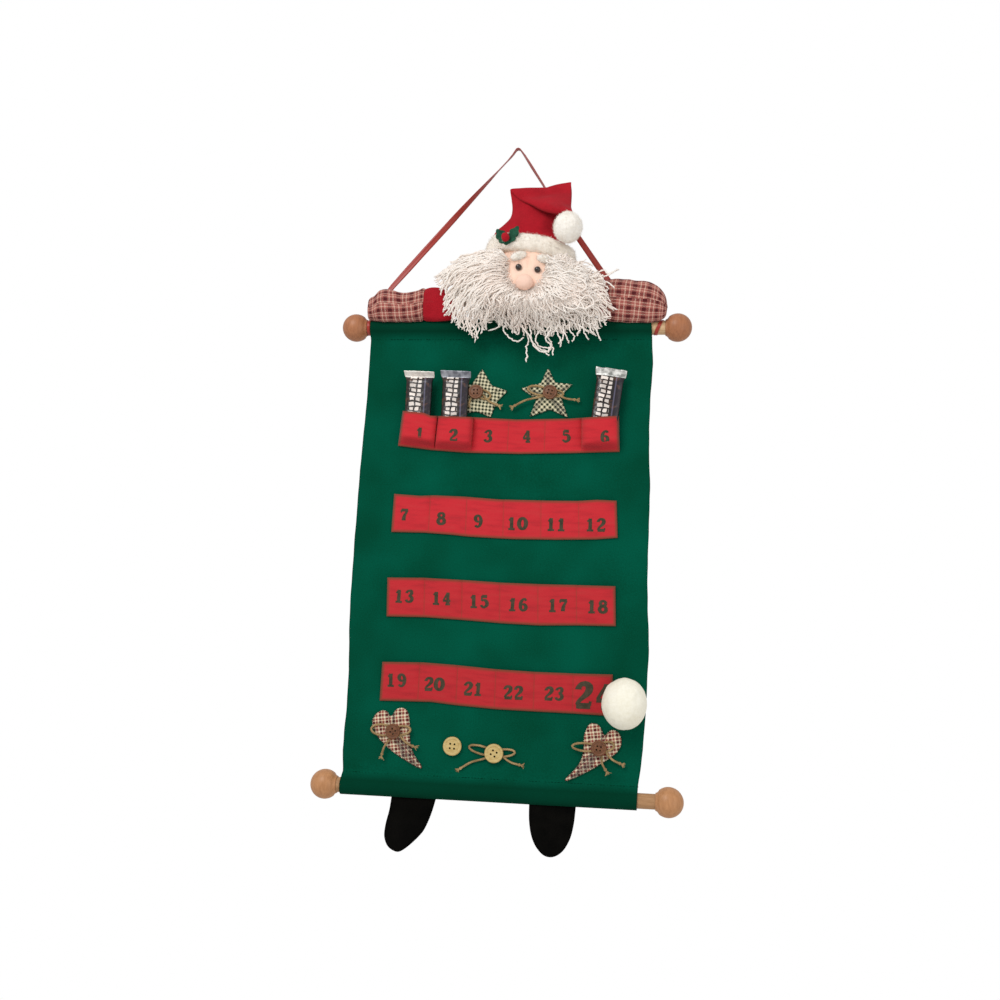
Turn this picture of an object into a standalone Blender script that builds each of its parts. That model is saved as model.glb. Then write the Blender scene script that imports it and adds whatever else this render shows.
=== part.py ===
"""Advent calendar wall hanging: a green cloth banner on two wooden rods, with four rows of numbered pockets,
a stuffed Father Christmas leaning over the top rod and two felt boots below. Metres, +Z up, front towards -Y.
The origin is the point of the hanger ribbon that rests on its nail."""

import math

import bmesh
import bpy
from mathutils import Matrix, Vector

MM = 0.001

# Hanging: the ribbon runs from the nail to both necks of the top rod
hang_height = 209 * MM
ribbon_width = 6.5 * MM
ribbon_bunched_width = 3.0 * MM
ribbon_thickness = 0.6 * MM
ribbon_nail_radius = 1.5 * MM
ribbon_turn_degrees = 300
ribbon_turn_steps = 12

# Rods and their turned ball ends
rod_diameter = 15 * MM
rod_spacing = 485 * MM
ball_diameter = 30 * MM
ball_bore_depth = 14 * MM
top_neck_left = 4.2 * MM
top_neck_right = 13.3 * MM
bottom_neck_left = 5.5 * MM
bottom_neck_right = 12.5 * MM

# Banner cloth and its two rod sleeves
banner_width = 303 * MM
cloth_thickness = 1.4 * MM
sleeve_clearance = 0.4 * MM
sleeve_seam_distance = 4.2 * MM
hem_overlap = 5 * MM

# Clearances between sewn or glued pieces
seat_gap = 0.3 * MM
bar_clearance = 0.4 * MM

# Pocket strips: one strip of red cotton a row, sewn down between its six pockets
pockets_in_row = 6
rows = 4
pocket_width = 39.3 * MM
strip_height = 40 * MM
first_strip_drop = 97 * MM
row_pitch = 88.3 * MM
strip_shift = 2.4 * MM
strip_wall = 1.2 * MM
empty_pocket_depth = 5.4 * MM

# Wrapped bars
bar_length = 80 * MM
bar_width = 28.4 * MM
bar_thickness = 9.0 * MM
bar_flap = 7.0 * MM
bar_flap_width = 32 * MM
bar_foot_width = 26 * MM
bar_flap_thickness = 0.9 * MM
bar_shoulder = 3.0 * MM
bar_rise = 4.6 * MM
bar_six_lean_degrees = 6.4
bar_six_shift = -2.3 * MM

# Stars, hearts, buttons and twine
star_radius = 27.5 * MM
star_thickness = 3.2 * MM
star_left_turn_degrees = -8
star_right_turn_degrees = 4
star_clearance = 1.0 * MM
heart_size = 58 * MM
heart_thickness = 3.4 * MM
heart_rise = 49 * MM
heart_step = 7 * MM
brown_button_diameter = 15.5 * MM
brown_button_thickness = 2.6 * MM
pale_button_diameter = 19 * MM
pale_button_thickness = 3.0 * MM
pale_button_rise = 42.5 * MM
pale_button_step = 5 * MM
button_hole_diameter = 1.9 * MM
button_hole_pitch = 3.7 * MM
twine_diameter = 2.0 * MM
bow_size = 22 * MM

# Stuffed white ball at the end of the last row
snowball_width = 48 * MM
snowball_height = 54 * MM
snowball_depth = 51 * MM
snowball_offset = 14.8 * MM

# Boots: two layers of black felt below the bottom sleeve
boot_thickness = 3.6 * MM
boot_width = 46 * MM
boot_length = 52 * MM

# Father Christmas: head, hat, arms and beard
head_width = 88 * MM
head_depth = 44 * MM
head_height = 92 * MM
head_seat_degrees = 40
brim_height = 19 * MM
brim_thickness = 15.2 * MM
brim_width = 95 * MM
brim_depth = 48 * MM
brim_rise = 37 * MM
brim_tilt_degrees = 7
crown_height = 66 * MM
crown_width = 72 * MM
crown_depth = 27 * MM
crown_sink = 3.2 * MM
pompom_width = 30 * MM
pompom_height = 33 * MM
pompom_drop_below_crown = 43 * MM
pompom_forward = 27.5 * MM
tip_radius = 1.5 * MM
beard_width = 190 * MM
beard_height = 115 * MM
beard_depth = 24 * MM
beard_edge_radius = 7 * MM
beard_forward = 18 * MM
nose_width = 19.6 * MM
nose_height = 16.6 * MM
nose_depth = 17 * MM
eye_diameter = 6.8 * MM
eye_spacing = 20 * MM
brow_length = 21 * MM
brow_thickness = 8 * MM
arm_radius = 15.5 * MM
arm_depth_radius = 9.5 * MM
arm_seat_degrees = 50
sleeve_left_length = 55.5 * MM
sleeve_left_inset = 4 * MM
sleeve_right_length = 66 * MM
sleeve_right_overhang = 15 * MM
mitten_length = 36 * MM
holly_leaf_length = 22 * MM
holly_leaf_width = 12.5 * MM
holly_leaf_thickness = 1.2 * MM
holly_berry_diameter = 8 * MM

# Places of the stars along the first pocket strip, as shares of its width
star_left_share = 0.3588
star_right_share = 0.6787
# Places across the banner from its middle, as shares of its width
heart_left_share = -0.333
heart_right_share = 0.356
pale_button_left_share = -0.132
pale_button_right_share = 0.01
boot_left_share = -0.264
boot_right_share = 0.208
head_share = 0.0726

# Values worked out from the sizes above
rod_radius = rod_diameter / 2
ball_radius = ball_diameter / 2
ball_seat = math.sqrt(ball_radius**2 - rod_radius**2)
sleeve_inner = rod_radius + sleeve_clearance
sleeve_outer = sleeve_inner + cloth_thickness
sleeve_seam_drop = sleeve_outer + sleeve_seam_distance
hang_setback = rod_radius + seat_gap + ribbon_thickness / 2
banner_front = -cloth_thickness / 2
strip_width = pocket_width * pockets_in_row
heart_left_x = banner_width * heart_left_share
heart_right_x = banner_width * heart_right_share
pale_button_left_x = banner_width * pale_button_left_share
pale_button_right_x = banner_width * pale_button_right_share
boot_left_x = banner_width * boot_left_share
boot_right_x = banner_width * boot_right_share
head_x = banner_width * head_share
strip_left = strip_shift - strip_width / 2
star_left_x = strip_left + strip_width * star_left_share
star_right_x = strip_left + strip_width * star_right_share
star_front = banner_front - seat_gap - star_thickness
heart_front = banner_front - seat_gap - heart_thickness
bar_back = star_front - seat_gap - bar_clearance
bar_middle = bar_back - bar_thickness / 2
filled_pocket_depth = -bar_back + bar_thickness + bar_clearance + banner_front - seat_gap
filled_pockets = {1: "bar_1", 2: "bar_2", 6: "bar_6"}
strip_back = banner_front - seat_gap


def seated_on_sleeve(depth_radius, height_radius, degrees):
    """Centre (y, z) of an ellipse that lies 0.3 mm off the rod sleeve, touching it at the given angle."""
    ahead, up = math.cos(math.radians(degrees)), math.sin(math.radians(degrees))
    reach = math.hypot(depth_radius * ahead, height_radius * up)
    away = sleeve_outer + seat_gap
    return (-away * ahead - depth_radius**2 * ahead / reach, away * up + height_radius**2 * up / reach)


head_y, head_z = seated_on_sleeve(head_depth / 2, head_height / 2, head_seat_degrees)
arm_y, arm_z = seated_on_sleeve(arm_depth_radius, arm_radius, arm_seat_degrees)

for old in list(bpy.data.objects):
    bpy.data.objects.remove(old)

parts = bpy.data.collections.new("advent_calendar")
cutters = bpy.data.collections.new("cutters")
for collection in (parts, cutters):
    bpy.context.scene.collection.children.link(collection)

rod_axis = bpy.data.objects.new("top_rod_axis", None)
rod_axis.location = (0, -hang_setback, -hang_height)
parts.objects.link(rod_axis)


def material(name, colour, roughness, metallic=0.0):
    made = bpy.data.materials.new(name)
    made.use_nodes = True
    shader = made.node_tree.nodes["Principled BSDF"]
    shader.inputs["Base Color"].default_value = (*colour, 1.0)
    shader.inputs["Roughness"].default_value = roughness
    shader.inputs["Metallic"].default_value = metallic
    made.diffuse_color = (*colour, 1.0)
    return made


green_cloth = material("green_cloth", (0.0, 0.085, 0.045), 0.95)
red_cotton = material("red_cotton", (0.52, 0.03, 0.05), 0.9)
red_felt = material("red_felt", (0.42, 0.01, 0.025), 0.95)
plaid_cotton = material("plaid_cotton", (0.42, 0.14, 0.13), 0.9)
gingham_cotton = material("gingham_cotton", (0.36, 0.36, 0.24), 0.9)
heart_cotton = material("heart_cotton", (0.38, 0.2, 0.16), 0.9)
white_fleece = material("white_fleece", (0.8, 0.77, 0.7), 1.0)
white_yarn = material("white_yarn", (0.82, 0.78, 0.74), 0.95)
skin_cloth = material("skin_cloth", (0.8, 0.5, 0.4), 0.9)
black_felt = material("black_felt", (0.006, 0.006, 0.007), 0.95)
black_bead = material("black_bead", (0.01, 0.007, 0.006), 0.15)
holly_felt = material("holly_felt", (0.015, 0.09, 0.045), 0.9)
turned_wood = material("turned_wood", (0.3, 0.14, 0.06), 0.5)
brown_button = material("brown_button", (0.22, 0.1, 0.05), 0.5)
pale_button = material("pale_button", (0.62, 0.4, 0.19), 0.5)
jute_twine = material("jute_twine", (0.4, 0.26, 0.14), 0.95)
red_satin = material("red_satin", (0.4, 0.02, 0.025), 0.35)
foil_wrapper = material("foil_wrapper", (0.05, 0.025, 0.02), 0.3, 0.4)


def add(name, data, surface, location=(0, 0, 0), rotation=(0, 0, 0), into=parts):
    """Puts mesh or curve data under the rod axis, where all places here are measured from."""
    made = bpy.data.objects.new(name, data)
    made.location = location
    made.rotation_euler = rotation
    made.parent = rod_axis
    into.objects.link(made)
    if surface:
        data.materials.append(surface)
    if into is cutters:
        made.hide_render = True
        made.display_type = "WIRE"
    return made


def mesh_from(bm, name, smooth=True):
    bmesh.ops.recalc_face_normals(bm, faces=bm.faces)
    mesh = bpy.data.meshes.new(name)
    bm.to_mesh(mesh)
    bm.free()
    if smooth:
        mesh.shade_smooth()
    return mesh


def loft(name, rings):
    """Closed mesh through rings of equally many points, with a flat cap on each end ring."""
    bm = bmesh.new()
    loops = [[bm.verts.new(point) for point in ring] for ring in rings]
    count = len(rings[0])
    for near, far in zip(loops, loops[1:]):
        for i in range(count):
            j = (i + 1) % count
            bm.faces.new((near[i], near[j], far[j], far[i]))
    bm.faces.new(loops[0])
    bm.faces.new(loops[-1])
    return mesh_from(bm, name)


def ellipsoid(name, radii, grow=0.0, segments=20, rings=12):
    bm = bmesh.new()
    bmesh.ops.create_uvsphere(bm, u_segments=segments, v_segments=rings, radius=1)
    bmesh.ops.scale(bm, vec=[radius + grow for radius in radii], verts=bm.verts)
    return mesh_from(bm, name)


def outline(name, loops, half_depth, edge=0.0, edge_steps=1):
    """Flat filled curve; each loop is (points, smooth), and the rounded edge stays inside the outline."""
    curve = bpy.data.curves.new(name, "CURVE")
    curve.dimensions = "2D"
    curve.fill_mode = "BOTH"
    curve.extrude = half_depth - edge
    curve.bevel_depth = edge
    curve.bevel_resolution = edge_steps
    curve.offset = -edge
    for points, smooth in loops:
        if smooth:
            spline = curve.splines.new("BEZIER")
            spline.resolution_u = 2
            spline.bezier_points.add(len(points) - 1)
            for knot, (x, y, kind) in zip(spline.bezier_points, points):
                knot.co = (x, y, 0)
                knot.handle_left_type = kind
                knot.handle_right_type = kind
        else:
            spline = curve.splines.new("POLY")
            spline.points.add(len(points) - 1)
            for knot, (x, y) in zip(spline.points, points):
                knot.co = (x, y, 0, 1)
        spline.use_cyclic_u = True
    return curve


def circle(radius, count, centre=(0, 0)):
    turns = [2 * math.pi * i / count for i in range(count)]
    return [(centre[0] + radius * math.cos(turn), centre[1] + radius * math.sin(turn)) for turn in turns]


def tube(name, points, radius, cyclic=False, sides=1):
    curve = bpy.data.curves.new(name, "CURVE")
    curve.dimensions = "3D"
    curve.bevel_depth = radius
    curve.bevel_resolution = sides
    curve.use_fill_caps = True
    spline = curve.splines.new("POLY")
    spline.points.add(len(points) - 1)
    for knot, point in zip(spline.points, points):
        knot.co = (*point, 1)
    spline.use_cyclic_u = cyclic
    return curve


def as_mesh(made):
    """Swaps a curve object for a mesh object of the same name, place and parent, with its caps welded."""
    bpy.context.view_layer.update()
    seen = made.evaluated_get(bpy.context.evaluated_depsgraph_get())
    mesh = bpy.data.meshes.new_from_object(seen)
    bm = bmesh.new()
    bm.from_mesh(mesh)
    bmesh.ops.remove_doubles(bm, verts=bm.verts, dist=weld_distance)
    bm.to_mesh(mesh)
    bm.free()
    name, place, into = made.name, made.matrix_world.copy(), made.users_collection[0]
    bpy.data.objects.remove(made)
    solid = bpy.data.objects.new(name, mesh)
    solid.parent = rod_axis
    into.objects.link(solid)
    solid.matrix_world = place
    if into is cutters:
        solid.hide_render = True
        solid.display_type = "WIRE"
    return solid


weld_distance = 0.01 * MM


def combine(made, others, operation):
    for other in others:
        boolean = made.modifiers.new(other.name, "BOOLEAN")
        boolean.operation = operation
        boolean.solver = "EXACT"
        boolean.object = other


facing = (math.pi / 2, 0, 0)
along_x = (math.pi / 2, 0, math.pi / 2)
z_to_x = (0, math.pi / 2, 0)
z_to_minus_x = (0, -math.pi / 2, 0)


def wooden_rod(name, neck_left, neck_right, drop):
    """Dowel with a ball glued on each end; the necks are the bare lengths beside the sleeve."""
    left = -banner_width / 2 - neck_left - ball_seat
    right = banner_width / 2 + neck_right + ball_seat
    inset = ball_bore_depth - ball_seat - seat_gap
    bm = bmesh.new()
    bmesh.ops.create_cone(
        bm, cap_ends=True, segments=24, radius1=rod_radius, radius2=rod_radius, depth=right - left + 2 * inset
    )
    add(name + "_rod", mesh_from(bm, name), turned_wood, ((left + right) / 2, 0, -drop), z_to_x)
    for side, x, turn in (("left", left, z_to_minus_x), ("right", right, z_to_x)):
        add(f"{name}_ball_{side}", ball_profile(), turned_wood, (x, 0, -drop), turn)
        screw = bpy.data.objects[f"{name}_ball_{side}"].modifiers.new("turn", "SCREW")
        screw.steps = 20
        screw.render_steps = 20
        screw.use_merge_vertices = True
        screw.merge_threshold = weld_distance
        screw.use_normal_calculate = True


def ball_profile():
    """Half outline of a ball with a blind bore that opens downwards, from its top pole to the bore's end."""
    bore = rod_radius + seat_gap
    mouth = math.acos(-math.sqrt(1 - (bore / ball_radius) ** 2))
    steps = 9
    points = [
        (ball_radius * math.sin(mouth * i / steps), ball_radius * math.cos(mouth * i / steps))
        for i in range(steps + 1)
    ]
    bore_end = ball_bore_depth - ball_seat
    points += [(bore, bore_end), (0, bore_end)]
    bm = bmesh.new()
    verts = [bm.verts.new((x, 0, z)) for x, z in points]
    for near, far in zip(verts, verts[1:]):
        bm.edges.new((near, far))
    mesh = bpy.data.meshes.new("ball")
    bm.to_mesh(mesh)
    bm.free()
    return mesh


def sleeve_arc(radius, drop, start, end, steps):
    """Points of the loop round a rod, from one side of the seam to the other; drop is the rod's depth."""
    points = []
    for i in range(steps + 1):
        turn = math.radians(start + (end - start) * i / steps)
        points.append((radius * math.sin(turn), -drop - radius * math.cos(turn)))
    return points


full_turn = 360
half_turn = 180


def banner():
    """Cloth with a rod sleeve folded to the back at each end; the profile is drawn in y and z."""
    opening = math.degrees(math.acos(sleeve_outer / sleeve_seam_drop))
    half = cloth_thickness / 2
    hem = half + cloth_thickness
    top_seam, bottom_seam = -sleeve_seam_drop, -rod_spacing + sleeve_seam_drop
    upper = sleeve_arc(sleeve_outer, 0, opening, full_turn - opening, 20)
    lower = sleeve_arc(sleeve_outer, rod_spacing, half_turn + opening, half_turn + full_turn - opening, 20)
    profile = [(hem, top_seam - hem_overlap), (hem, top_seam)] + upper + [(-half, top_seam)]
    profile += [(-half, bottom_seam)] + lower + [(hem, bottom_seam), (hem, bottom_seam + hem_overlap)]
    profile += [(half, bottom_seam + hem_overlap), (half, top_seam - hem_overlap)]
    bores = [circle(sleeve_inner, 24, (0, 0)), circle(sleeve_inner, 24, (0, -rod_spacing))]
    loops = [(profile, False)] + [(bore, False) for bore in bores]
    add("banner", outline("banner", loops, banner_width / 2), green_cloth, (0, 0, 0), along_x)


# Across one pocket: place along it, and how far the cloth stands out there
across_shares = ((0.0, 0.0), (0.02, 0.0), (0.07, 1.0), (0.93, 1.0), (0.98, 0.0))
# Up one pocket: height, and how far the cloth stands out there
up_shares = ((0.0, 0.0), (0.04, 0.3), (0.11, 1.0), (1.0, 1.0))


def pocket_strip(row):
    """Strip of cloth, sewn to the banner at its foot and beside each pocket, and standing off between."""
    columns = []
    for pocket in range(pockets_in_row):
        number = row * pockets_in_row + pocket + 1
        depth = filled_pocket_depth if number in filled_pockets else empty_pocket_depth
        for place, out in across_shares:
            columns.append(((pocket + place) * pocket_width, out * depth))
    columns.append((strip_width, 0.0))
    bm = bmesh.new()
    bmesh.ops.create_grid(bm, x_segments=len(columns) - 1, y_segments=len(up_shares) - 1, size=1)
    for vert in bm.verts:
        column = round((vert.co.x + 1) / 2 * (len(columns) - 1))
        level = round((vert.co.y + 1) / 2 * (len(up_shares) - 1))
        along, out = columns[column]
        height, lift = up_shares[level]
        vert.co = (along, -out * lift, (height - 1) * strip_height)
    mesh = bpy.data.meshes.new(f"pocket_strip_{row + 1}")
    bm.to_mesh(mesh)
    bm.free()
    place = (strip_left, strip_back, -first_strip_drop - row * row_pitch)
    strip = add(f"pocket_strip_{row + 1}", mesh, red_cotton, place)
    shell = strip.modifiers.new("cloth", "SOLIDIFY")
    shell.thickness = strip_wall
    shell.offset = strip_outward
    shell.use_even_offset = True


strip_outward = 1.0


def bar_ring(width, thickness, height):
    """Rounded rectangle of 12 points at one height of a wrapped bar."""
    ring = []
    for i in range(12):
        turn = 2 * math.pi * (i + 0.5) / 12
        across, ahead = math.cos(turn), math.sin(turn)
        x = math.copysign(abs(across) ** bar_square_share, across) * width / 2
        y = math.copysign(abs(ahead) ** bar_square_share, ahead) * thickness / 2
        ring.append((x, y, height))
    return ring


bar_square_share = 0.4


def wrapped_bar(number):
    """Bar in a plain wrapper, with a crimped flap above and a folded one below."""
    body_low = bar_flap + bar_shoulder
    body_high = bar_length - bar_flap - bar_shoulder
    rings = [
        bar_ring(bar_foot_width, bar_flap_thickness, 0),
        bar_ring(bar_foot_width, bar_flap_thickness, bar_flap),
        bar_ring(bar_width, bar_thickness, body_low),
        bar_ring(bar_width, bar_thickness, body_high),
        bar_ring(bar_flap_width, bar_flap_thickness, bar_length - bar_flap),
        bar_ring(bar_flap_width, bar_flap_thickness, bar_length),
    ]
    pocket_middle = strip_left + (number - 0.5) * pocket_width
    lean = math.radians(bar_six_lean_degrees) if number == 6 else 0.0
    shift = bar_six_shift if number == 6 else 0.0
    foot = -first_strip_drop - strip_height + bar_rise
    place = (pocket_middle + shift, bar_middle, foot)
    add(filled_pockets[number], loft(f"bar_{number}", rings), foil_wrapper, place, (0, lean, 0))


def star(name, x, turn_degrees):
    """Five-pointed padded star whose feet stand just above the first pocket strip."""
    lowest = max(-math.sin(math.radians(90 + 72 * i + turn_degrees)) for i in range(5))
    z = -first_strip_drop + star_clearance + star_radius * lowest
    points = []
    for i in range(10):
        reach = star_radius if i % 2 == 0 else star_radius * star_waist_share
        turn = math.radians(90 + 36 * i + turn_degrees)
        points.append((reach * math.cos(turn), reach * math.sin(turn)))
    curve = outline(name, [(points, False)], star_thickness / 2, star_thickness / 2 * soft_edge_share, 1)
    add(name, curve, gingham_cotton, (x, star_front + star_thickness / 2, z), facing)
    return z


star_waist_share = 0.5
soft_edge_share = 0.6

# Outline of a heart with a bent tail, from its cleft round the outer lobe, as shares of its size
heart_shares = (
    (-0.09, 0.22, "VECTOR"),
    (-0.22, 0.31, "AUTO"),
    (-0.37, 0.15, "AUTO"),
    (-0.26, -0.13, "AUTO"),
    (0.06, -0.38, "AUTO"),
    (0.53, -0.61, "VECTOR"),
    (0.3, -0.25, "AUTO"),
    (0.26, 0.1, "AUTO"),
    (0.15, 0.38, "AUTO"),
)


def heart(name, x, z, side):
    points = [(side * across * heart_size, up * heart_size, kind) for across, up, kind in heart_shares]
    curve = outline(name, [(points, True)], heart_thickness / 2, heart_thickness / 2 * soft_edge_share, 1)
    add(name, curve, heart_cotton, (x, heart_front + heart_thickness / 2, z), facing)


def button(name, diameter, thickness, surface, x, z, back):
    """Round button with four holes through it."""
    reach = button_hole_pitch / 2
    centres = [(across * reach, up * reach) for across in (-1, 1) for up in (-1, 1)]
    holes = [(circle(button_hole_diameter / 2, 6, centre), False) for centre in centres]
    loops = [(circle(diameter / 2, 20), False)] + holes
    add(name, outline(name, loops, thickness / 2), surface, (x, back - thickness / 2, z), facing)


def bow(name, x, z, back):
    """Twine bow with a loop and a tail on each side of its knot."""
    loops, tails = bow_shares[name]
    radius = twine_diameter / 2
    middle = Vector((x, back - radius, z))
    paths = []
    for turn, reach, width in loops:
        heading = math.radians(turn)
        half_long, half_wide = reach * bow_size / 2, width * bow_size / 2
        apart = math.asin(radius * loop_end_share / half_wide)
        path = []
        for step in range(loop_steps + 1):
            phase = apart + (2 * math.pi - 2 * apart) * step / loop_steps
            out = half_long * (1 - math.cos(phase))
            side = half_wide * math.sin(phase)
            across = out * math.cos(heading) - side * math.sin(heading)
            path.append((across, 0, out * math.sin(heading) + side * math.cos(heading)))
        paths.append(path)
    for across, up in tails:
        path = []
        for step in range(tail_steps + 1):
            share = step / tail_steps
            droop = math.sin(math.pi * share) * tail_droop_share
            path.append((across * bow_size * share, 0, (up * share + droop) * bow_size))
        paths.append(path)
    strands = []
    for i, path in enumerate(paths):
        thin = radius * (1 - strand_step_share * (i + 1))
        beside = middle + Vector((0, radius * strand_step_share * (i - 1.5) / 2, 0))
        strand = f"{name}_strand_{i}"
        strands.append(as_mesh(add(strand, tube(strand, path, thin), None, beside, into=cutters)))
    knot_radii = (twine_diameter * knot_width_share, radius, twine_diameter * knot_height_share)
    knot = add(name, ellipsoid(name, knot_radii, 0.0, 9, 7), jute_twine, middle)
    combine(knot, strands, "UNION")


# Loops of each bow as (turn in degrees, reach, width) and its tails as (across, up), in shares of its size
bow_shares = {
    "star_bow_left": (((170, 0.42, 0.36), (-20, 0.66, 0.42)), ((-0.36, -0.5), (1.1, -0.8))),
    "star_bow_right": (((170, 1.0, 0.4), (-5, 0.68, 0.3)), ((-1.77, -0.66), (1.3, -0.45))),
    "heart_bow_left": (((175, 0.9, 0.5), (10, 0.75, 0.4)), ((-0.55, -1.1), (1.0, -0.7))),
    "heart_bow_right": (((178, 1.2, 0.35), (15, 0.7, 0.4)), ((0.95, -0.65), (0.3, -0.95))),
    "button_bow": (((165, 1.2, 0.35), (0, 0.9, 0.3)), ((-1.65, -0.8), (1.3, -0.55))),
}
loop_steps = 8
tail_steps = 3
strand_step_share = 0.06
loop_end_share = 1.3
tail_droop_share = 0.05
knot_width_share = 1.7
knot_height_share = 1.4

# Boot seen from the front: across from its middle in boot widths, down from its top in boot lengths
boot_left_shares = (
    (-0.46, 0.0, "VECTOR"),
    (-0.52, -0.35, "AUTO"),
    (-0.57, -0.7, "AUTO"),
    (-0.44, -0.95, "AUTO"),
    (-0.2, -1.0, "AUTO"),
    (0.1, -0.85, "AUTO"),
    (0.34, -0.5, "AUTO"),
    (0.5, 0.0, "VECTOR"),
)
boot_right_shares = (
    (-0.5, 0.0, "VECTOR"),
    (-0.5, -0.35, "AUTO"),
    (-0.4, -0.75, "AUTO"),
    (-0.15, -0.97, "AUTO"),
    (0.12, -0.98, "AUTO"),
    (0.38, -0.75, "AUTO"),
    (0.48, -0.35, "AUTO"),
    (0.5, 0.0, "VECTOR"),
)


def brown_button_on(name, x, z, twine_back):
    """Brown button in front of a bow, whose twine lies on twine_back."""
    back = twine_back - twine_diameter - seat_gap
    button(name, brown_button_diameter, brown_button_thickness, brown_button, x, z, back)


def stars():
    places = (("left", star_left_x, star_left_turn_degrees), ("right", star_right_x, star_right_turn_degrees))
    for side, x, turn_degrees in places:
        z = star(f"star_{side}", x, turn_degrees)
        bow(f"star_bow_{side}", x, z, star_front - seat_gap)
        brown_button_on(f"star_button_{side}", x, z, star_front - seat_gap)


def hearts():
    """Two hearts on the cloth below the last row, with their tails towards the middle."""
    low = -rod_spacing + heart_rise
    for side, name, x, z in ((1, "left", heart_left_x, low + heart_step), (-1, "right", heart_right_x, low)):
        heart(f"heart_{name}", x, z, side)
        bow(f"heart_bow_{name}", x, z, heart_front - seat_gap)
        brown_button_on(f"heart_button_{name}", x, z, heart_front - seat_gap)


def pale_buttons():
    """Two wooden buttons between the hearts; the right one holds a twine bow."""
    cloth = banner_front - seat_gap
    left_z = -rod_spacing + pale_button_rise
    right_z = left_z - pale_button_step
    places = (("left", pale_button_left_x, left_z, cloth),)
    places += (("right", pale_button_right_x, right_z, cloth - twine_diameter - seat_gap),)
    for side, x, z, back in places:
        button(f"pale_button_{side}", pale_button_diameter, pale_button_thickness, pale_button, x, z, back)
    bow("button_bow", pale_button_right_x, right_z, cloth)


def boot(name, x, shares):
    """Two layers of felt with a rounded edge, hinged on the seam under the bottom sleeve."""
    points = [(across * boot_width, up * boot_length, kind) for across, up, kind in shares]
    curve = outline(name, [(points, True)], boot_thickness / 2, boot_thickness / 2, 2)
    curve.offset = 0
    hinge = -rod_spacing - sleeve_outer - seat_gap - boot_thickness / 2
    add(name, curve, black_felt, (x, 0, hinge), facing)


def snowball():
    radii = (snowball_width / 2, snowball_depth / 2, snowball_height / 2)
    x = strip_left + strip_width + snowball_offset
    z = -first_strip_drop - (rows - 1) * row_pitch - strip_height * snowball_down_share
    place = (x, banner_front - seat_gap - snowball_depth / 2, z)
    add("snowball", ellipsoid("snowball", radii), white_fleece, place)


snowball_down_share = 0.75


def head_form(name, grow, into, surface):
    radii = (head_width / 2, head_depth / 2, head_height / 2)
    return add(name, ellipsoid(name, radii, grow, 20, 14), surface, (head_x, head_y, head_z), into=into)


def brim_point(turn, out=0.0, up=0.0):
    """Point of the brim's middle line, or beside it; turn 0 is at the wearer's left, 90 degrees in front."""
    across = brim_width / 2 - brim_thickness / 2 + out
    ahead = brim_depth / 2 - brim_thickness / 2 + out
    x = across * math.cos(turn)
    drop = x * math.tan(math.radians(brim_tilt_degrees))
    return Vector((head_x + x, head_y - ahead * math.sin(turn), head_z + brim_rise - drop + up))


def brim_form(name, grow, into, surface):
    """Fleece roll round the head, taller than it is deep."""
    taller = brim_height / brim_thickness
    points = [brim_point(2 * math.pi * i / 28) for i in range(28)]
    flat = [(point.x, point.y, point.z / taller) for point in points]
    made = as_mesh(add(name, tube(name, flat, brim_thickness / 2 + grow, True, 2), surface, into=into))
    made.data.transform(Matrix.Diagonal((1, 1, taller, 1)))
    return made


# Hat crown from the brim up: height share, middle share of the half width, half width share, half depth share
crown_shares = (
    (0.0, -0.17, 0.93, 1.0),
    (0.16, -0.2, 0.93, 1.0),
    (0.34, 0.02, 0.99, 0.9),
    (0.5, 0.2, 0.87, 0.75),
    (0.75, 0.23, 0.87, 0.52),
    (0.94, 0.2, 0.89, 0.36),
    (1.0, 0.2, 0.85, 0.22),
)
# The folded-over point of the hat, from the crown's top edge down to its tip, in the same shares,
# and how far forward of the crown's middle it lies, as a share of the pompom's own distance
fold_shares = (
    (0.99, 0.23, 0.72, 0.22, 0.1),
    (0.93, 0.24, 0.78, 0.3, 0.18),
    (0.77, 0.42, 0.62, 0.32, 0.32),
    (0.6, 0.68, 0.4, 0.3, 0.52),
    (0.46, 0.92, 0.18, 0.22, 0.78),
)


def oval(centre, across, ahead, count):
    turns = [2 * math.pi * i / count for i in range(count)]
    return [
        (centre[0] + across * math.cos(turn), centre[1] + ahead * math.sin(turn), centre[2]) for turn in turns
    ]


def hat():
    base = head_z + brim_rise + brim_height / 2 - crown_sink
    half_width, half_depth = crown_width / 2, crown_depth / 2
    tip_x = head_x + half_width * tip_across_share
    tip_z = base + crown_height - pompom_drop_below_crown
    rings = []
    for up, middle, wide, deep in crown_shares:
        centre = (head_x + middle * half_width, head_y, base + up * crown_height)
        rings.append(oval(centre, wide * half_width, deep * half_depth, 20))
    crown = add("hat_crown", loft("hat_crown", rings), red_felt)
    rings = []
    for up, middle, wide, deep, ahead in fold_shares:
        centre = (head_x + middle * half_width, head_y - ahead * pompom_forward, base + up * crown_height)
        rings.append(oval(centre, wide * half_width, deep * half_depth, 12))
    tip_y = head_y - pompom_forward
    for up, wide in tip_shares:
        rings.append(oval((tip_x, tip_y, tip_z + up * tip_radius), wide * tip_radius, wide * tip_radius, 12))
    fold = add("hat_fold", loft("hat_fold", rings), None, into=cutters)
    combine(crown, [fold], "UNION")
    rooms = [brim_form("brim_room", seat_gap, cutters, None)]
    rooms.append(head_form("head_room_for_crown", seat_gap, cutters, None))
    combine(crown, rooms, "DIFFERENCE")
    radii = (pompom_width / 2, pompom_width / 2, pompom_height / 2)
    pompom = ellipsoid("hat_pompom", radii)
    pompom.transform(Matrix.Translation((0, 0, -tip_radius - seat_gap - pompom_height / 2)))
    add("hat_pompom", pompom, white_fleece, (tip_x, tip_y, tip_z))


tip_across_share = 1.13
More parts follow.
